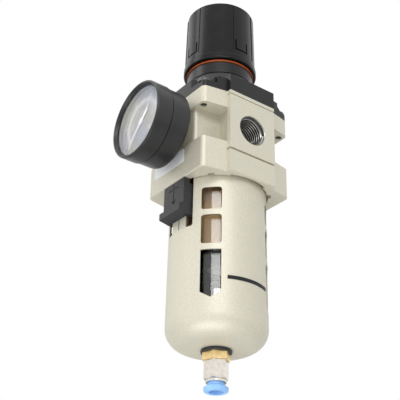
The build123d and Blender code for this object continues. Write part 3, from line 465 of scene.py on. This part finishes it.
def printed_paper(name, colour):
    """A smooth bare sticker with a trace of paper grain."""
    finish = Finish(name)
    place = finish.place()
    grain = finish.noise(place, size=0.3, detail=4.0)
    return finish.surface({
        "Base Color": finish.mix(grain, darker(colour, 0.95), colour),
        "Roughness": 0.38 + grain * 0.1,
        "Normal": finish.bump(grain, depth=0.003),
    })


def dial_foil(name, colour, cool, warm):
    """The dial's pearly foil, which drifts between a cool and a warm tint."""
    finish = Finish(name)
    place = finish.place()
    drift = finish.noise(finish.stretched(place, (1.0, 1.0, 0.55)), size=11.0, detail=0.0)
    grain = finish.noise(place, size=0.3, detail=3.0)
    tone = finish.mix(finish.between(drift, 0.36, 0.48), cool, colour)
    tone = finish.mix(finish.between(drift, 0.52, 0.64), tone, warm)
    return finish.surface({
        "Base Color": tone,
        "Roughness": 0.5 + grain * 0.12,
        "Specular IOR Level": 0.05,
        "Normal": finish.bump(grain, depth=0.002),
    })


def printing_ink(name, colour, gloss=0.5):
    """Screen-printed ink with a slightly uneven film."""
    finish = Finish(name)
    place = finish.place()
    film = finish.noise(place, size=0.4, detail=3.0)
    return finish.surface({
        "Base Color": finish.mix(film, darker(colour, 0.85), darker(colour, 1.1)),
        "Roughness": 0.4 + film * 0.2,
        "Specular IOR Level": gloss,
        "Normal": finish.bump(film, depth=0.004),
    })


# Sizes and colours that a user would change

def colour_property(name, description, default):
    """A colour that a user may change."""
    return FloatVectorProperty(
        name=name, description=description, default=default, subtype="COLOR", size=3, min=0, max=1
    )


def length_property(name, description, millimetres):
    """A length, given here in millimetres."""
    return FloatProperty(
        name=name, description=description, default=millimetres * MM, unit="LENGTH", precision=5
    )


def angle_property(name, description, degrees):
    """An angle, given here in degrees."""
    return FloatProperty(
        name=name, description=description, default=radians(degrees), unit="ROTATION"
    )


class FinishColours(PropertyGroup):
    """Colours of the finishes, in linear light"""
    paint: colour_property("Paint", "Platinum paint of casting and guard", (0.655, 0.625, 0.51))
    # Painted shade for the guard's inner side, where shade falls
    primer: colour_property("Painted shade", "Inner side of the guard", (0.02, 0.02, 0.018))
    black: colour_property("Black plastic", "Knob and inner parts", (0.007, 0.007, 0.007))
    bonnet: colour_property("Bonnet plastic", "Bonnet", (0.01, 0.01, 0.0104))
    case: colour_property("Gauge case", "Gauge case and bezel", (0.021, 0.0215, 0.022))
    grey: colour_property("Grey plastic", "Lock button", (0.032, 0.032, 0.034))
    orange: colour_property("Orange plastic", "Band below the knob", (0.42, 0.082, 0.012))
    blue: colour_property("Blue plastic", "Release ring of the drain", (0.3, 0.56, 0.98))
    screw: colour_property("Screw steel", "Bonnet screws and plug", (0.11, 0.11, 0.108))
    steel: colour_property("Zinc-plated steel", "Adjusting screw and grab ring", (0.5, 0.5, 0.48))
    wire: colour_property("Spring steel", "Springs", (0.42, 0.42, 0.43))
    brass: colour_property("Brass", "Drain nut, gauge stem and valve rod", (1.0, 0.75, 0.38))
    nickel: colour_property("Nickel plate", "Drain fitting", (0.78, 0.73, 0.66))
    aluminium: colour_property("Aluminium", "Bare ports and diaphragm plate", (0.5, 0.49, 0.46))
    rubber: colour_property("Rubber", "Seals and diaphragm", (0.012, 0.012, 0.012))
    bowl: colour_property("Bowl plastic", "Clear bowl", (0.96, 0.97, 0.96))
    lens: colour_property("Lens plastic", "Gauge lens", (0.98, 0.98, 0.98))
    element: colour_property("Filter plastic", "Filter element and float", (0.94, 0.56, 0.24))
    natural: colour_property("Natural plastic", "Valve guide and drain guide", (0.74, 0.72, 0.68))
    dial: colour_property("Dial face", "Foil behind the print", (0.42, 0.41, 0.43))
    dial_cool: colour_property("Dial, cool", "Cool tint of the foil", (0.39, 0.41, 0.46))
    dial_warm: colour_property("Dial, warm", "Warm tint of the foil", (0.45, 0.45, 0.41))
    dial_ink: colour_property("Dial ink", "Ticks, numbers and pointer", (0.95, 0.95, 0.95))
    label: colour_property("Label", "Bare sticker on the skirt", (0.88, 0.9, 0.92))
    ink: colour_property("Dark ink", "Level bar and arrow", (0.008, 0.009, 0.012))


class ThreadSizes(PropertyGroup):
    """Pipe threads in the two ports"""
    pitch: length_property("Pitch", "From one crest to the next", 1.814)
    depth: length_property("Depth", "Height of a crest above the root", 1.0)
    crest: length_property("Crest round", "Bevel of the crest", 0.16)
    wall_gap: length_property("Wall gap", "From the thread's root to the port's wall", 0.02)
    lead_in: length_property("Lead-in", "Plain mouth before the first crest", 0.9)
    turns: IntProperty(name="Turns", description="Whole turns in each port", default=9)


class DialSizes(PropertyGroup):
    """Print on the gauge's dial"""
    start: angle_property("Start", "Angle of zero, anticlockwise from 3 o'clock", 225)
    sweep: angle_property("Sweep", "From zero to full scale", 270)
    arc: length_property("Arc", "Radius of the arc that carries the ticks", 14.9)
    minor: length_property("Minor tick", "Length of a small tick", 1.8)
    major: length_property("Major tick", "Length of a numbered tick", 4.6)
    width: length_property("Line width", "Width of a small tick", 0.56)
    bold: length_property("Bold line width", "Width of a numbered tick", 0.952)
    steps: IntProperty(name="Numbered ticks", description="Steps of the scale", default=5)
    parts: IntProperty(name="Parts", description="Small steps in each numbered one", default=10)
    unit: IntProperty(name="Step value", description="Value of one numbered step", default=2)
    inner_arc: length_property("Inner arc", "Outer radius of the inner ticks", 14.7)
    inner_steps: IntProperty(name="Inner ticks", description="Ticks of the inner scale", default=28)
    number_reach: length_property("Number reach", "Radius of the numbers' middles", 10.9)
    number_height: length_property("Number height", "Height of a figure", 4.0)


class MarkSizes(PropertyGroup):
    """Sticker, level bar and arrow"""
    skirt_top: length_property("Skirt top", "Height of the skirt's upper edge", -13.2)
    label_left: length_property("Label left", "Distance left of the upright axis", 22.4)
    label_width: length_property("Label width", "Along the skirt", 32.0)
    label_height: length_property("Label height", "Up the skirt", 9.4)
    label_drop: length_property("Label drop", "Below the top of the skirt", 0.9)
    label_round: length_property("Label corner", "Corner radius", 0.7)
    label_thickness: length_property("Label thickness", "How far the sticker stands off", 0.12)
    bar_height: length_property("Bar height", "Height of the level bar's middle", -101.7)
    bar_width: length_property("Bar width", "Width of the level bar", 2.3)
    bar_reach: length_property("Bar reach", "Guard radius at the bar", 31.0)
    bar_start: angle_property("Bar start", "Angle from +X", -26.5)
    bar_sweep: angle_property("Bar sweep", "Angle that the bar covers", 57)
    arrow_top: length_property("Arrow top", "Below the top of the button", 1.6)
    arrow_length: length_property("Arrow length", "From tail to tip", 13.0)
    arrow_width: length_property("Arrow line", "Width of the arrow's line", 0.75)
    arrow_barb: length_property("Arrow barb", "Length of each barb", 3.2)
    arrow_lean: angle_property("Arrow barb lean", "From the arrow's line to each barb", 40)
    arrow_bar: length_property("Arrow bar", "Length of each half of the bar across the arrow", 3.8)
    arrow_bar_gap: length_property("Arrow bar gap", "From the arrow's line to the bar", 1.4)
    arrow_bar_drop: length_property("Arrow bar drop", "From the arrow's tail to the bar", 3.0)


class StudioSettings(PropertyGroup):
    """Camera, lamps and floor"""
    camera_azimuth: angle_property("Camera azimuth", "0 looks along +Y", 53.84)
    camera_elevation: angle_property("Camera elevation", "Below the horizon if negative", -28.40)
    camera_roll: angle_property("Camera roll", "Turn about the view line", 1.31)
    camera_place: FloatVectorProperty(
        name="Camera place", description="Where the lens stands", size=3, unit="LENGTH",
        default=(446.15 * MM, -314.95 * MM, -315.33 * MM),
    )
    focal_length: FloatProperty(name="Focal length", description="In millimetres", default=82.74)
    floor_height: length_property("Floor height", "Height of the floor", -800)
    floor_size: FloatProperty(name="Floor size", description="Width", default=8.0, unit="LENGTH")
    world_light: FloatProperty(name="World light", description="Light from all round", default=0.64)


# Painted castings and mouldings

def dress(node, material):
    """Gives a node of the frame its finish."""
    slots = frame["nodes"][node].data.materials
    slots.clear()
    slots.append(material)


def colours():
    """The colours as they are set in the scene."""
    return bpy.context.scene.regulator_colours


class REGULATOR_OT_painted_parts(Operator):
    """Paints the casting and the bowl guard"""
    bl_idname = "regulator.painted_parts"
    bl_label = "Painted parts"

    def execute(self, context):
        paint = colours().paint
        dress("body_casting", casting_paint("casting_paint", paint, colours().aluminium))
        dress("bowl_guard", guard_paint("guard_paint", paint, colours().primer))
        return {"FINISHED"}


class REGULATOR_OT_mouldings(Operator):
    """Finishes the plastic mouldings"""
    bl_idname = "regulator.mouldings"
    bl_label = "Mouldings"

    def execute(self, context):
        black = moulded_plastic("black_moulding", colours().black, rough=0.24, gloss=0.22)
        for node in ("knob", "deflector", "element_retainer"):
            dress(node, black)
        bonnet = moulded_plastic(
            "bonnet_moulding", colours().bonnet, rough=0.28, gloss=0.32, grain=0.006
        )
        dress("bonnet", bonnet)
        case = moulded_plastic(
            "gauge_moulding", colours().case, rough=0.34, gloss=0.4, grain=0.008
        )
        for node in ("gauge_case", "gauge_bezel"):
            dress(node, case)
        grey = moulded_plastic(
            "grey_moulding", colours().grey, rough=0.45, gloss=0.3, grain=0.008
        )
        dress("lock_button", grey)
        orange = moulded_plastic("orange_moulding", colours().orange, rough=0.4, gloss=0.3)
        dress("colour_band", orange)
        dress("release_ring", moulded_plastic("blue_moulding", colours().blue, rough=0.4))
        natural = moulded_plastic("natural_moulding", colours().natural, rough=0.5)
        for node in ("valve_guide", "drain_guide"):
            dress(node, natural)
        return {"FINISHED"}


class REGULATOR_OT_metal_parts(Operator):
    """Finishes the turned, plated and drawn metal"""
    bl_idname = "regulator.metal_parts"
    bl_label = "Metal parts"

    def execute(self, context):
        upright = (0.15, 0.15, 3.0)
        crosswise = (3.0, 0.15, 0.15)
        steel = turned_metal("zinc_steel", colours().steel, rough=0.28, stretch=upright)
        for node in ("adjusting_screw", "grab_ring"):
            dress(node, steel)
        screw = turned_metal("screw_steel", colours().screw, rough=0.3, stretch=upright)
        for node in ("bonnet_screws", "rear_plug"):
            dress(node, screw)
        wire = turned_metal("spring_wire", colours().wire, rough=0.3, stretch=crosswise)
        for node in ("adjusting_spring", "valve_spring", "lock_spring"):
            dress(node, wire)
        brass = turned_metal("brass", colours().brass, rough=0.2, stretch=upright)
        for node in ("spring_seat", "relief_seat", "valve_rod", "drain_nut", "gauge_stem"):
            dress(node, brass)
        plate = turned_metal("aluminium", colours().aluminium, rough=0.35, stretch=upright)
        dress("diaphragm_plate", plate)
        nickel = turned_metal("nickel", colours().nickel, rough=0.12, stretch=upright)
        dress("drain_fitting", nickel)
        return {"FINISHED"}


class REGULATOR_OT_seals(Operator):
    """Finishes the rubber seals and the diaphragm"""
    bl_idname = "regulator.seals"
    bl_label = "Seals"

    def execute(self, context):
        rubber = seal_rubber("seal_rubber", colours().rubber)
        for node in ("diaphragm", "valve_seal", "bowl_seal", "tube_seal", "drain_washer"):
            dress(node, rubber)
        return {"FINISHED"}


class REGULATOR_OT_filter_parts(Operator):
    """Finishes the filter element and the float"""
    bl_idname = "regulator.filter_parts"
    bl_label = "Filter parts"

    def execute(self, context):
        porous = porous_plastic("porous_plastic", colours().element)
        for node in ("filter_element", "drain_float"):
            dress(node, porous)
        return {"FINISHED"}


class REGULATOR_OT_clear_parts(Operator):
    """Finishes the clear bowl and the gauge's lens"""
    bl_idname = "regulator.clear_parts"
    bl_label = "Clear parts"

    def execute(self, context):
        dress("bowl", clear_plastic("bowl_plastic", colours().bowl, rough=0.03))
        lens = clear_plastic(
            "lens_plastic", colours().lens, rough=0.0, share=0.05, flow_depth=0.0005
        )
        dress("gauge_lens", lens)
        return {"FINISHED"}


class REGULATOR_OT_gauge_face(Operator):
    """Finishes the dial and the pointer"""
    bl_idname = "regulator.gauge_face"
    bl_label = "Gauge face"

    def execute(self, context):
        foil = dial_foil("dial_face", colours().dial, colours().dial_cool, colours().dial_warm)
        for node in ("gauge_dial", "dial_ring"):
            dress(node, foil)
        dress("gauge_pointer", printing_ink("pointer_paint", colours().dial_ink))
        return {"FINISHED"}


# Threads

class REGULATOR_OT_port_threads(Operator):
    """Winds the pipe threads that line the two ports"""
    bl_idname = "regulator.port_threads"
    bl_label = "Port threads"

    def execute(self, context):
        sizes = context.scene.regulator_threads
        port = mounts["inlet_port"]["dims"]
        root_radius = port["r_mm"] * MM - sizes.wall_gap
        depth = sizes.depth * MILLIMETRES_PER_METRE
        metal = thread_metal("thread_metal", colours().aluminium, port["r_mm"], depth)
        thread = self.model(sizes, root_radius)
        span = frame["record"]["size"]["bbox_m"][0]
        length = sizes.turns * sizes.pitch
        far = Matrix.Translation((span - 2 * sizes.lead_in - length, 0, 0))
        other = copy_piece(thread, "outlet_thread", far)
        for piece in (thread, other):
            deselect_all()
            piece.select_set(True)
            context.view_layer.objects.active = piece
            bpy.ops.object.mode_set(mode="EDIT")
            finish_piece(piece, "housing", metal)
        return {"FINISHED"}

    def model(self, sizes, root_radius):
        """One crest's outline, wound along the port into a run of thread."""
        deselect_all()

        # A triangle with sides of one pitch, flattened to the thread's depth
        corner_reach = sizes.pitch / 3 ** 0.5
        bpy.ops.mesh.primitive_circle_add(vertices=3, radius=corner_reach)
        thread = start_piece("inlet_thread")
        bpy.ops.transform.rotate(value=pi, orient_axis="Z", center_override=(0, 0, 0))
        flattening = sizes.depth / (1.5 * corner_reach)
        bpy.ops.transform.resize(value=(1, flattening, 1), center_override=(0, 0, 0))
        outset = root_radius - corner_reach * flattening / 2
        start = sizes.lead_in + sizes.pitch / 2
        bpy.ops.transform.translate(value=(start, outset, 0))
        self.round_crest(thread, root_radius, sizes.crest)
        bpy.ops.object.mode_set(mode="OBJECT")
        winding = thread.modifiers.new("winding", "SCREW")
        winding.axis = "X"
        winding.steps = 72
        winding.render_steps = 72
        winding.screw_offset = sizes.pitch
        winding.iterations = sizes.turns - 1
        winding.use_merge_vertices = False
        apply_all_modifiers(thread)
        bpy.ops.object.mode_set(mode="EDIT")
        bpy.ops.mesh.select_all(action="SELECT")
        bpy.ops.mesh.fill_holes(sides=0)
        recalculate_normals()
        bpy.ops.object.mode_set(mode="OBJECT")
        return thread

    def round_crest(self, thread, root_radius, bevel):
        """Bevels the outline's inner corner."""
        bpy.ops.mesh.select_all(action="DESELECT")
        bpy.ops.object.mode_set(mode="OBJECT")
        for vertex in thread.data.vertices:
            vertex.select = vertex.co.y < root_radius - bevel
        bpy.ops.object.mode_set(mode="EDIT")
        bpy.ops.mesh.bevel(offset=bevel, affect="VERTICES")


# Gauge print

def on_dial(piece_angle, reach, face):
    """A point of the dial, with the angle anticlockwise from 3 o'clock as seen from the front."""
    return Vector((face.x + reach * cos(piece_angle), face.y, face.z + reach * sin(piece_angle)))


class REGULATOR_OT_dial_print(Operator):
    """Prints the ticks and the arc that carries them on the dial"""
    bl_idname = "regulator.dial_print"
    bl_label = "Dial print"

    def execute(self, context):
        sizes = context.scene.regulator_dial
        ink = printing_ink("dial_ink", colours().dial_ink, gloss=0.1)
        minor_count = sizes.steps * sizes.parts
        self.ticks("dial_minor_ticks", sizes.arc, sizes.minor, sizes.width, minor_count, sizes, ink)
        self.ticks("dial_major_ticks", sizes.arc, sizes.major, sizes.bold, sizes.steps, sizes, ink)
        inner_end = sizes.inner_arc - sizes.minor
        inner_count = sizes.inner_steps
        self.ticks("dial_inner_ticks", inner_end, sizes.minor, sizes.width, inner_count, sizes, ink)
        self.arc("dial_arc", sizes.arc, sizes.width / 2, sizes, ink)
        return {"FINISHED"}

    def ticks(self, name, start, length, width, count, sizes, ink):
        """One tick at zero, repeated round the scale."""
        face = gauge_face()
        middle = on_dial(0, start + length / 2, face)
        deselect_all()
        bpy.ops.mesh.primitive_plane_add(size=1, location=middle, rotation=(pi / 2, 0, 0))
        bpy.context.object.scale = (length, width, 1)
        piece = start_piece(name)
        bpy.ops.mesh.extrude_region_move(TRANSFORM_OT_translate={"value": (0, -PRINT_DEPTH, 0)})
        bpy.ops.mesh.select_all(action="SELECT")
        bpy.ops.transform.rotate(value=sizes.start, orient_axis="Y", center_override=face)
        bpy.ops.mesh.spin(
            steps=count, dupli=True, angle=-sizes.sweep, center=face, axis=(0, 1, 0),
            use_auto_merge=False,
        )
        finish_piece(piece, "housing", ink)

    def arc(self, name, reach, width, sizes, ink):
        """A thin band round the scale, which joins the ticks."""
        face = gauge_face()
        deselect_all()
        place = on_dial(0, reach, face)
        bpy.ops.mesh.primitive_plane_add(size=1, location=place)
        bpy.context.object.scale = (width, PRINT_DEPTH * 2, 1)
        piece = start_piece(name)
        bpy.ops.transform.rotate(value=sizes.start, orient_axis="Y", center_override=face)
        bpy.ops.mesh.spin(steps=72, angle=-sizes.sweep, center=face, axis=(0, 1, 0))
        finish_piece(piece, "housing", ink)


class REGULATOR_OT_dial_numbers(Operator):
    """Prints plain numbers on the dial"""
    bl_idname = "regulator.dial_numbers"
    bl_label = "Dial numbers"

    def execute(self, context):
        sizes = context.scene.regulator_dial
        face = gauge_face()
        ink = printing_ink("number_ink", colours().dial_ink, gloss=0.1)
        for step in range(sizes.steps + 1):
            angle = sizes.start - sizes.sweep * step / sizes.steps
            place = on_dial(angle, sizes.number_reach, face)
            self.number(step * sizes.unit, place, sizes.number_height, ink)
        return {"FINISHED"}

    def number(self, value, place, height, ink):
        """One number as a thin printed shape."""
        deselect_all()
        bpy.ops.object.text_add(location=(0, 0, 0))
        text = bpy.context.object
        text.data.body = str(value)
        text.data.size = height
        text.data.align_x = "CENTER"
        text.data.align_y = "CENTER"
        text.data.extrude = PRINT_DEPTH
        bpy.ops.object.convert(target="MESH")
        piece = bpy.context.object
        piece.rotation_euler = (pi / 2, 0, 0)
        piece.location = place
        start_piece(f"dial_number_{value}")
        finish_piece(piece, "housing", ink)


# Sticker and marks

class REGULATOR_OT_label(Operator):
    """Sticks the bare label on the front of the skirt"""
    bl_idname = "regulator.label"
    bl_label = "Label"

    def execute(self, context):
        sizes = context.scene.regulator_marks
        middle = Vector((
            axis_x() - sizes.label_left + sizes.label_width / 2,
            skirt_face_y(),
            sizes.skirt_top - sizes.label_drop - sizes.label_height / 2,
        ))
        deselect_all()
        bpy.ops.mesh.primitive_plane_add(size=1, location=middle, rotation=(pi / 2, 0, 0))
        bpy.context.object.scale = (sizes.label_width, sizes.label_height, 1)
        piece = start_piece("skirt_label")
        bpy.ops.mesh.bevel(offset=sizes.label_round, segments=5, affect="VERTICES")
        bpy.ops.mesh.select_all(action="SELECT")
        bpy.ops.mesh.extrude_region_move(
            TRANSFORM_OT_translate={"value": (0, -sizes.label_thickness, 0)}
        )
        paper = printed_paper("label_paper", colours().label)
        finish_piece(piece, "housing", paper)
        return {"FINISHED"}


class REGULATOR_OT_level_bar(Operator):
    """Prints the level bar round the guard"""
    bl_idname = "regulator.level_bar"
    bl_label = "Level bar"

    def execute(self, context):
        sizes = context.scene.regulator_marks
        centre = Vector((axis_x(), 0, sizes.bar_height))
        deselect_all()
        start = centre + Vector((sizes.bar_reach, 0, 0))
        bpy.ops.mesh.primitive_plane_add(size=1, location=start, rotation=(pi / 2, 0, 0))
        bpy.context.object.scale = (PRINT_DEPTH * 3, sizes.bar_width, 1)
        piece = start_piece("level_bar")
        bpy.ops.transform.rotate(value=-sizes.bar_start, orient_axis="Z", center_override=centre)
        bpy.ops.mesh.spin(steps=40, angle=-sizes.bar_sweep, center=centre, axis=(0, 0, 1))
        ink = printing_ink("bar_ink", colours().ink, gloss=0.3)
        finish_piece(piece, "bowl_unit", ink)
        return {"FINISHED"}


class REGULATOR_OT_button_arrow(Operator):
    """Prints the arrow that shows which way the lock button slides"""
    bl_idname = "regulator.button_arrow"
    bl_label = "Button arrow"

    def execute(self, context):
        sizes = context.scene.regulator_marks
        face_y = skirt_face_y()
        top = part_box("lock_button")[1].z - sizes.arrow_top
        tip = top - sizes.arrow_length
        ink = printing_ink("arrow_ink", colours().ink, gloss=0.1)
        self.stroke("arrow_line", (axis_x(), face_y, (top + tip) / 2), sizes.arrow_length, 0, ink)
        bar_middle = sizes.arrow_bar_gap + sizes.arrow_bar / 2
        for side, name in ((-1, "left"), (1, "right")):
            barb = (
                axis_x() + side * sizes.arrow_barb / 2 * sin(sizes.arrow_lean),
                face_y,
                tip + sizes.arrow_barb / 2 * cos(sizes.arrow_lean),
            )
            lean = side * sizes.arrow_lean
            self.stroke(f"arrow_{name}_barb", barb, sizes.arrow_barb, lean, ink)
            bar = (axis_x() + side * bar_middle, face_y, top - sizes.arrow_bar_drop)
            self.stroke(f"arrow_{name}_bar", bar, sizes.arrow_bar, pi / 2, ink)
        return {"FINISHED"}

    def stroke(self, name, middle, length, lean, ink):
        """One straight line of the arrow, with cut corners."""
        width = bpy.context.scene.regulator_marks.arrow_width
        deselect_all()
        bpy.ops.mesh.primitive_plane_add(size=1, location=middle, rotation=(pi / 2, 0, 0))
        bpy.context.object.scale = (width, length, 1)
        piece = start_piece(name)
        bpy.ops.mesh.bevel(offset=width / 3, segments=2, affect="VERTICES")
        bpy.ops.mesh.select_all(action="SELECT")
        bpy.ops.mesh.extrude_region_move(TRANSFORM_OT_translate={"value": (0, -PRINT_DEPTH, 0)})
        bpy.ops.mesh.select_all(action="SELECT")
        bpy.ops.transform.rotate(value=-lean, orient_axis="Y", center_override=middle)
        finish_piece(piece, "lock_button", ink)


# Studio

class Lamp(NamedTuple):
    """A soft lamp: its direction in degrees, its distance and size in metres, its power in watts"""
    name: str
    azimuth: float
    elevation: float
    distance: float
    width: float
    height: float
    power: float


LAMPS = (
    Lamp("band_lamp", azimuth=57.5, elevation=25, distance=0.9, width=0.62, height=0.26, power=2.6),
    Lamp("front_lamp", azimuth=8, elevation=-10, distance=1.0, width=1.0, height=0.4, power=0.6),
    Lamp("low_lamp", azimuth=34, elevation=-58, distance=0.6, width=0.6, height=0.4, power=1.6),
    Lamp("side_lamp", azimuth=-66, elevation=32, distance=1.0, width=0.4, height=0.5, power=0.45),
    Lamp("left_lamp", azimuth=-24, elevation=42, distance=1.0, width=0.36, height=0.5, power=1.2),
    Lamp("top_lamp", azimuth=30, elevation=78, distance=1.0, width=1.0, height=1.0, power=1.7),
)


def camera_axes(studio):
    """The camera's right, up and back directions."""
    azimuth, roll = studio.camera_azimuth, studio.camera_roll
    level = Vector((cos(azimuth), sin(azimuth), 0))
    back = direction(azimuth, studio.camera_elevation)
    upright = back.cross(level)
    right = level * cos(roll) + upright * sin(roll)
    up = upright * cos(roll) - level * sin(roll)
    return right, up, back


class REGULATOR_OT_stage(Operator):
    """Sets up the camera, the lamps, the world and the floor"""
    bl_idname = "regulator.stage"
    bl_label = "Stage"

    def execute(self, context):
        studio = context.scene.regulator_studio
        self.place_camera(context.scene, studio)
        self.light_world(context.scene, studio)
        self.lay_floor(studio)
        for lamp in LAMPS:
            self.hang_lamp(lamp)
        context.scene.view_settings.view_transform = "Standard"
        return {"FINISHED"}

    def place_camera(self, scene, studio):
        """A camera whose lens stands and looks as the settings say."""
        data = bpy.data.cameras.new("camera")
        camera = bpy.data.objects.new("camera", data)
        scene.collection.objects.link(camera)
        data.lens = studio.focal_length
        data.clip_start = 0.01
        data.clip_end = 50
        right, up, back = camera_axes(studio)
        turn = Matrix((right, up, back)).transposed().to_4x4()
        camera.matrix_world = Matrix.Translation(studio.camera_place) @ turn
        scene.camera = camera

    def light_world(self, scene, studio):
        """White where the camera, metal or glass sees it, and softer as a light."""
        world = bpy.data.worlds.new("studio_world")
        world.use_nodes = True
        scene.world = world
        sky = NodeMaker(world.node_tree)
        path = sky.node("ShaderNodeLightPath")
        seen = path.outputs["Is Camera Ray"]
        for name in ("Is Glossy Ray", "Is Transmission Ray"):
            either = sky.node(
                "ShaderNodeMath", {"operation": "MAXIMUM"}, {0: seen, 1: path.outputs[name]}
            )
            seen = either.outputs[0]
        strength = sky.node(
            "ShaderNodeMapRange", {},
            {"Value": seen, "To Min": studio.world_light, "To Max": 1.0},
        )
        light = sky.node(
            "ShaderNodeBackground", {}, {"Color": (1, 1, 1, 1), "Strength": strength.outputs[0]}
        )
        sky.node("ShaderNodeOutputWorld", {}, {"Surface": light.outputs[0]})

    def lay_floor(self, studio):
        """A wide pale floor, well below the part."""
        deselect_all()
        bpy.ops.mesh.primitive_plane_add(size=studio.floor_size, location=(0, 0, studio.floor_height))
        floor = start_piece("floor")
        bpy.ops.mesh.subdivide(number_cuts=3)
        bpy.ops.object.mode_set(mode="OBJECT")
        finish = Finish("floor_paint")
        place = finish.place()
        cloud = finish.noise(place, size=400.0)
        tone = finish.mix(cloud, (0.86, 0.86, 0.86), (0.9, 0.9, 0.9))
        floor.data.materials.append(finish.surface({"Base Color": tone, "Roughness": 0.9}))

    def hang_lamp(self, lamp):
        """A rectangular soft lamp that faces the middle of the part."""
        data = bpy.data.lights.new(lamp.name, "AREA")
        data.shape = "RECTANGLE"
        data.size = lamp.width
        data.size_y = lamp.height
        data.energy = lamp.power
        hung = bpy.data.objects.new(lamp.name, data)
        bpy.context.scene.collection.objects.link(hung)
        back = direction(radians(lamp.azimuth), radians(lamp.elevation))
        low, high = cad_box
        turn = back.to_track_quat("Z", "Y").to_matrix().to_4x4()
        hung.matrix_world = Matrix.Translation((low + high) / 2 + back * lamp.distance) @ turn


# Panel and registration

STEPS = (
    REGULATOR_OT_stage,
    REGULATOR_OT_painted_parts,
    REGULATOR_OT_mouldings,
    REGULATOR_OT_metal_parts,
    REGULATOR_OT_seals,
    REGULATOR_OT_filter_parts,
    REGULATOR_OT_clear_parts,
    REGULATOR_OT_gauge_face,
    REGULATOR_OT_port_threads,
    REGULATOR_OT_dial_print,
    REGULATOR_OT_dial_numbers,
    REGULATOR_OT_label,
    REGULATOR_OT_level_bar,
    REGULATOR_OT_button_arrow,
)

SETTINGS = {
    "regulator_colours": FinishColours,
    "regulator_threads": ThreadSizes,
    "regulator_dial": DialSizes,
    "regulator_marks": MarkSizes,
    "regulator_studio": StudioSettings,
}


class REGULATOR_PT_steps(Panel):
    """Lists the steps that dress the regulator"""
    bl_idname = "REGULATOR_PT_steps"
    bl_label = "Filter regulator"
    bl_space_type = "VIEW_3D"
    bl_region_type = "UI"
    bl_category = "Regulator"

    def draw(self, context):
        for step in STEPS:
            self.layout.operator(step.bl_idname)


def register():
    for group in SETTINGS.values():
        bpy.utils.register_class(group)
    for name, group in SETTINGS.items():
        setattr(bpy.types.Scene, name, PointerProperty(type=group))
    for step in STEPS:
        bpy.utils.register_class(step)
    bpy.utils.register_class(REGULATOR_PT_steps)


def unregister():
    bpy.utils.unregister_class(REGULATOR_PT_steps)
    for step in reversed(STEPS):
        bpy.utils.unregister_class(step)
    for name in SETTINGS:
        delattr(bpy.types.Scene, name)
    for group in SETTINGS.values():
        bpy.utils.unregister_class(group)


def main():
    """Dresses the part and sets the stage."""
    register()
    bpy.ops.regulator.stage()
    bpy.ops.regulator.painted_parts()
    bpy.ops.regulator.mouldings()
    bpy.ops.regulator.metal_parts()
    bpy.ops.regulator.seals()
    bpy.ops.regulator.filter_parts()
    bpy.ops.regulator.clear_parts()
    bpy.ops.regulator.gauge_face()
    bpy.ops.regulator.port_threads()
    bpy.ops.regulator.dial_print()
    bpy.ops.regulator.dial_numbers()
    bpy.ops.regulator.label()
    bpy.ops.regulator.level_bar()
    bpy.ops.regulator.button_arrow()


if __name__ == "__main__":
    main()
